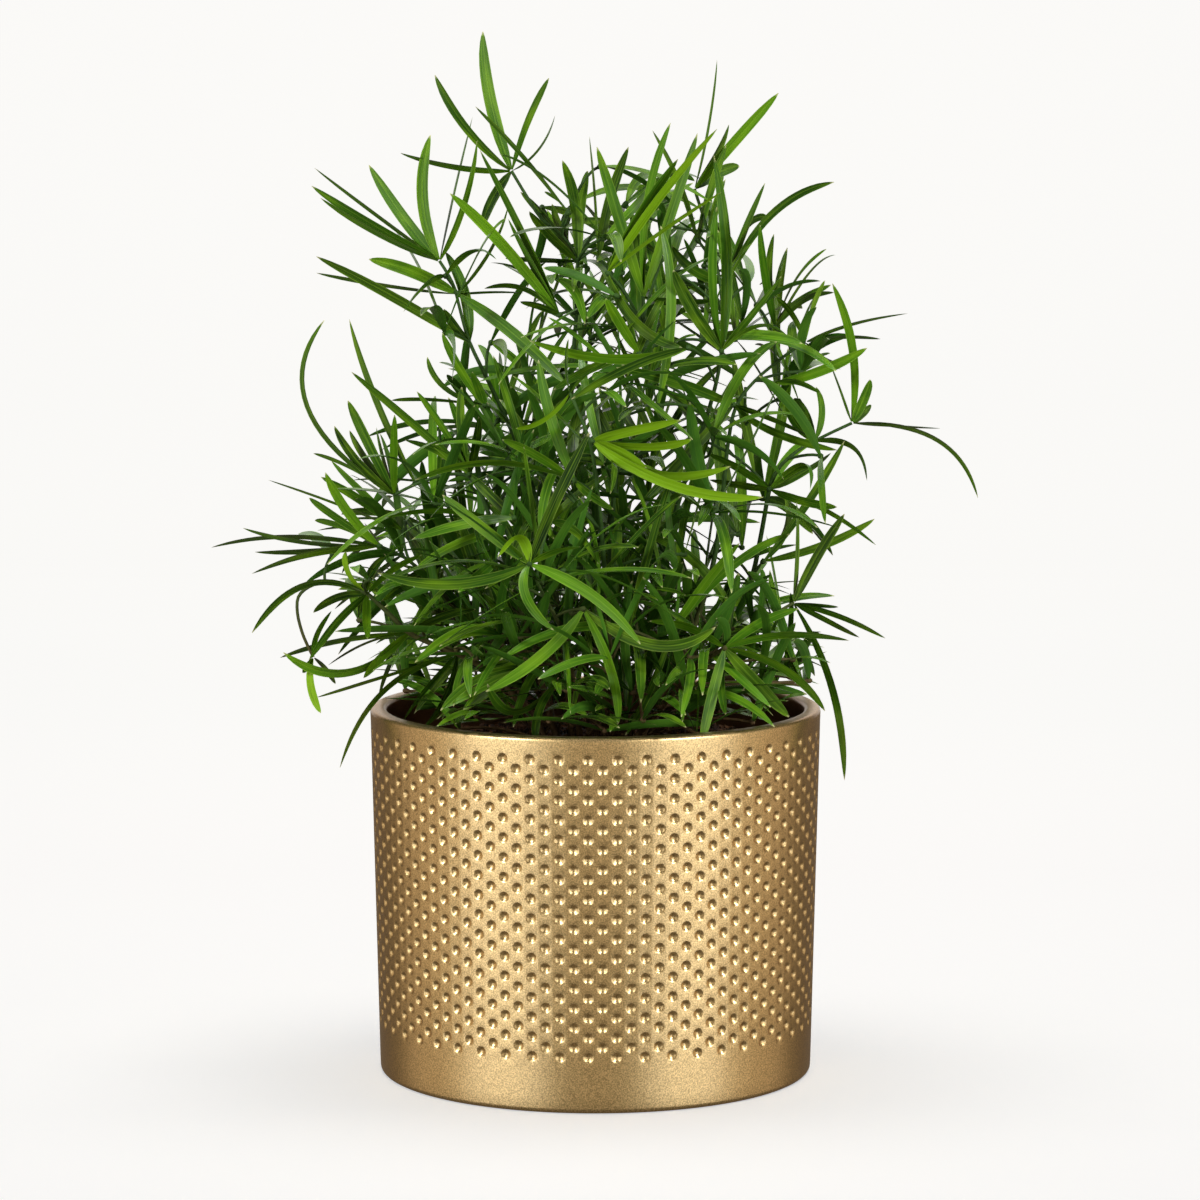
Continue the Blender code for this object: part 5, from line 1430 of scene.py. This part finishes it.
def makePlants():
    thicket, whorls, routes = growPlants()
    stage(f"grown: {leafCount(whorls)} leaves of the solids")
    growMore(thicket, whorls, routes)
    stage(f"grown: {leafCount(whorls)} leaves in all")
    tree, leafy, woody = sweepTree(), leafFinish(), stemFinish()
    for name, some in whorls.items():
        draw = random.Random(f"finish of {name}")
        lines = Lines()
        addStemLines(lines, routes[name], some)
        for leaf in (leaf for whorl in some for leaf in whorl.leaves):
            addLeafLine(lines, leaf, draw)
        label = "leafyStem" + name[-2:]
        piece = grown(newObject(label, lines.mesh(label)), tree, {
            "Fold": leafPlan["fold"], "Keel": leafPlan["keel"], "Stem sides": stemPlan["sides"],
            "Leaf finish": leafy, "Stem finish": woody})
        finished(piece, "leafy_stem", name)
    stage("leafy stems made")


makePlants()


# The studio: a white paper sweep, a large dim box low on each side of the camera with a weaker one
# outside it, a small bright box high on each side, a weak fill in front, a light above, and one for
# the paper alone. The low boxes make the two bright bands on the pot, and the high ones the two
# bright dots in each pit.
studioPlan = {
    "paper": "#F7F6F3",
    "paperWidth": 2.1,
    "paperFront": -0.5,
    "paperBack": 2.0,
    "paperBend": 0.5,
    "paperRise": 2.4,
    # the paper's own glow, by how far back plus how far up
    "paperGlow": ((-0.5, "#ADB6C1"), (0.1, "#ACB6C0"), (0.38, "#B2BAC3"), (0.8, "#C2C9CF"),
                  (1.2, "#D1D6DA"), (1.45, "#D8DCDF"), (1.9, "#D9DDE0"), (3.5, "#E8EAEC")),
    "world": 0.16,
    "worldTint": "#FFEBD2",
    # each light's angle from the camera's side, distance, height, the height that it aims at, its own
    # width and height, power and tint
    "lowBoxes": (48, 1.75, 0.05, 0.05, (1.41, 1.5), 11.5, "#FFFFFF"),
    "outerBoxes": (93, 1.75, 0.05, 0.05, (1.49, 1.5), 3.4, "#FFE4C2"),
    "highBoxes": (48, 1.4, 0.95, 0.15, (0.36, 0.36), 16, "#FFFFFF"),
    "fill": (0, 2.2, -0.1, 0.05, (1.2, 1.2), 2.0, "#FFE9C8"),
    "top": (180, 0.3, 1.7, 0.0, (1.5, 1.0), 11, "#FFFFFF"),
    "paperLight": (180, 0.1, 1.5, 0.0, (1.2, 0.7), 11, "#FFF5EA"),
}


def areaLight(name, plan, side, lights, shades=None):
    # Lights names what the light falls on, and shades what casts shadows in it.
    angle, away, high, aim, size, power, tint = plan
    data = bpy.data.lights.new(name, "AREA")
    data.shape = "RECTANGLE"
    data.size, data.size_y = size
    data.energy = power
    data.color = linear(tint)[:3]
    light = newObject(name, data)
    turn = math.radians(angle) * side
    light.location = (away * math.sin(turn), -away * math.cos(turn), high)
    light.rotation_euler = (Vector((0, 0, aim)) - light.location).to_track_quat("-Z", "Y").to_euler()
    light.light_linking.receiver_collection = lights
    light.light_linking.blocker_collection = shades


def makePaper():
    # Flat under the pot, then curved up behind it. It glows by itself, which keeps it pale and even,
    # but that glow lights nothing, and its flat part doesn't show in the gold, as if flagged off, so
    # shadows and edges stay dark.
    plan, glow = studioPlan, studioPlan["paperGlow"]
    back, bend = plan["paperBack"], plan["paperBend"]
    turns = [math.pi / 2 * k / 16 for k in range(17)]
    line = [(plan["paperFront"], 0.0)]
    line += [(back - bend + bend * math.sin(turn), bend * (1 - math.cos(turn))) for turn in turns]
    line.append((back, plan["paperRise"]))
    made, tree, shader = newMaterial("White sweep paper")
    place = addNode(tree, "ShaderNodeTexCoord").outputs["Object"]
    apart = addNode(tree, "ShaderNodeSeparateXYZ", {0: place}).outputs
    reach = addNode(tree, "ShaderNodeMath", {"operation": "ADD", 0: apart["Y"], 1: apart["Z"]})
    first, last = glow[0][0], glow[-1][0]
    share = addNode(tree, "ShaderNodeMapRange", {"From Min": first, "From Max": last, "Value": reach})
    ramp = addNode(tree, "ShaderNodeValToRGB", {0: share})
    stops = ramp.color_ramp.elements
    for k, (far, tint) in enumerate(glow):
        stop = stops[k] if k < 2 else stops.new(1.0)
        stop.position = (far - first) / (last - first)
        stop.color = linear(tint)
    setNode(tree, shader, {
        "Base Color": plan["paper"], "Roughness": 1.0, "Specular IOR Level": 0.0,
        "Emission Color": ramp, "Emission Strength": 1.0})
    sheets = []
    for name, part in (("paperFloor", line[:2]), ("paperBackdrop", line[1:])):
        verts = [(side * plan["paperWidth"] / 2, y, z) for y, z in part for side in (-1, 1)]
        mesh = bpy.data.meshes.new(name)
        mesh.from_pydata(verts, [], [(2 * k, 2 * k + 1, 2 * k + 3, 2 * k + 2) for k in range(len(part) - 1)])
        for face in mesh.polygons:
            face.use_smooth = True
        mesh.materials.append(made)
        sheet = newObject(name, mesh)
        sheet.visible_glossy = name == "paperBackdrop"
        sheet.visible_diffuse = False
        sheets.append(sheet)
    return sheets


def makeStudio():
    # The paper has a light of its own. The other lights don't fall on it, and the low ones also shine
    # through it, because they reach below it.
    plan = studioPlan
    sheets = makePaper()
    paper, rest = bpy.data.collections.new("the paper"), bpy.data.collections.new("all but the paper")
    for sheet in sheets:
        paper.objects.link(sheet)
        rest.objects.link(sheet)
    for entry in rest.collection_objects:
        entry.light_linking.link_state = "EXCLUDE"
    for side in (-1, 1):
        areaLight(f"low box {side}", plan["lowBoxes"], side, rest, rest)
        areaLight(f"outer box {side}", plan["outerBoxes"], side, rest, rest)
        areaLight(f"high box {side}", plan["highBoxes"], side, rest)
    areaLight("fill light", plan["fill"], 1, rest, rest)
    areaLight("top light", plan["top"], 1, rest)
    areaLight("paper light", plan["paperLight"], 1, paper)
    world = bpy.data.worlds.new("studio")
    world.use_nodes = True
    setNode(world.node_tree, world.node_tree.nodes["Background"], {0: plan["worldTint"], 1: plan["world"]})
    bpy.context.scene.world = world
    bpy.context.scene.view_settings.view_transform = "Standard"
    stage("studio lit")


makeStudio()
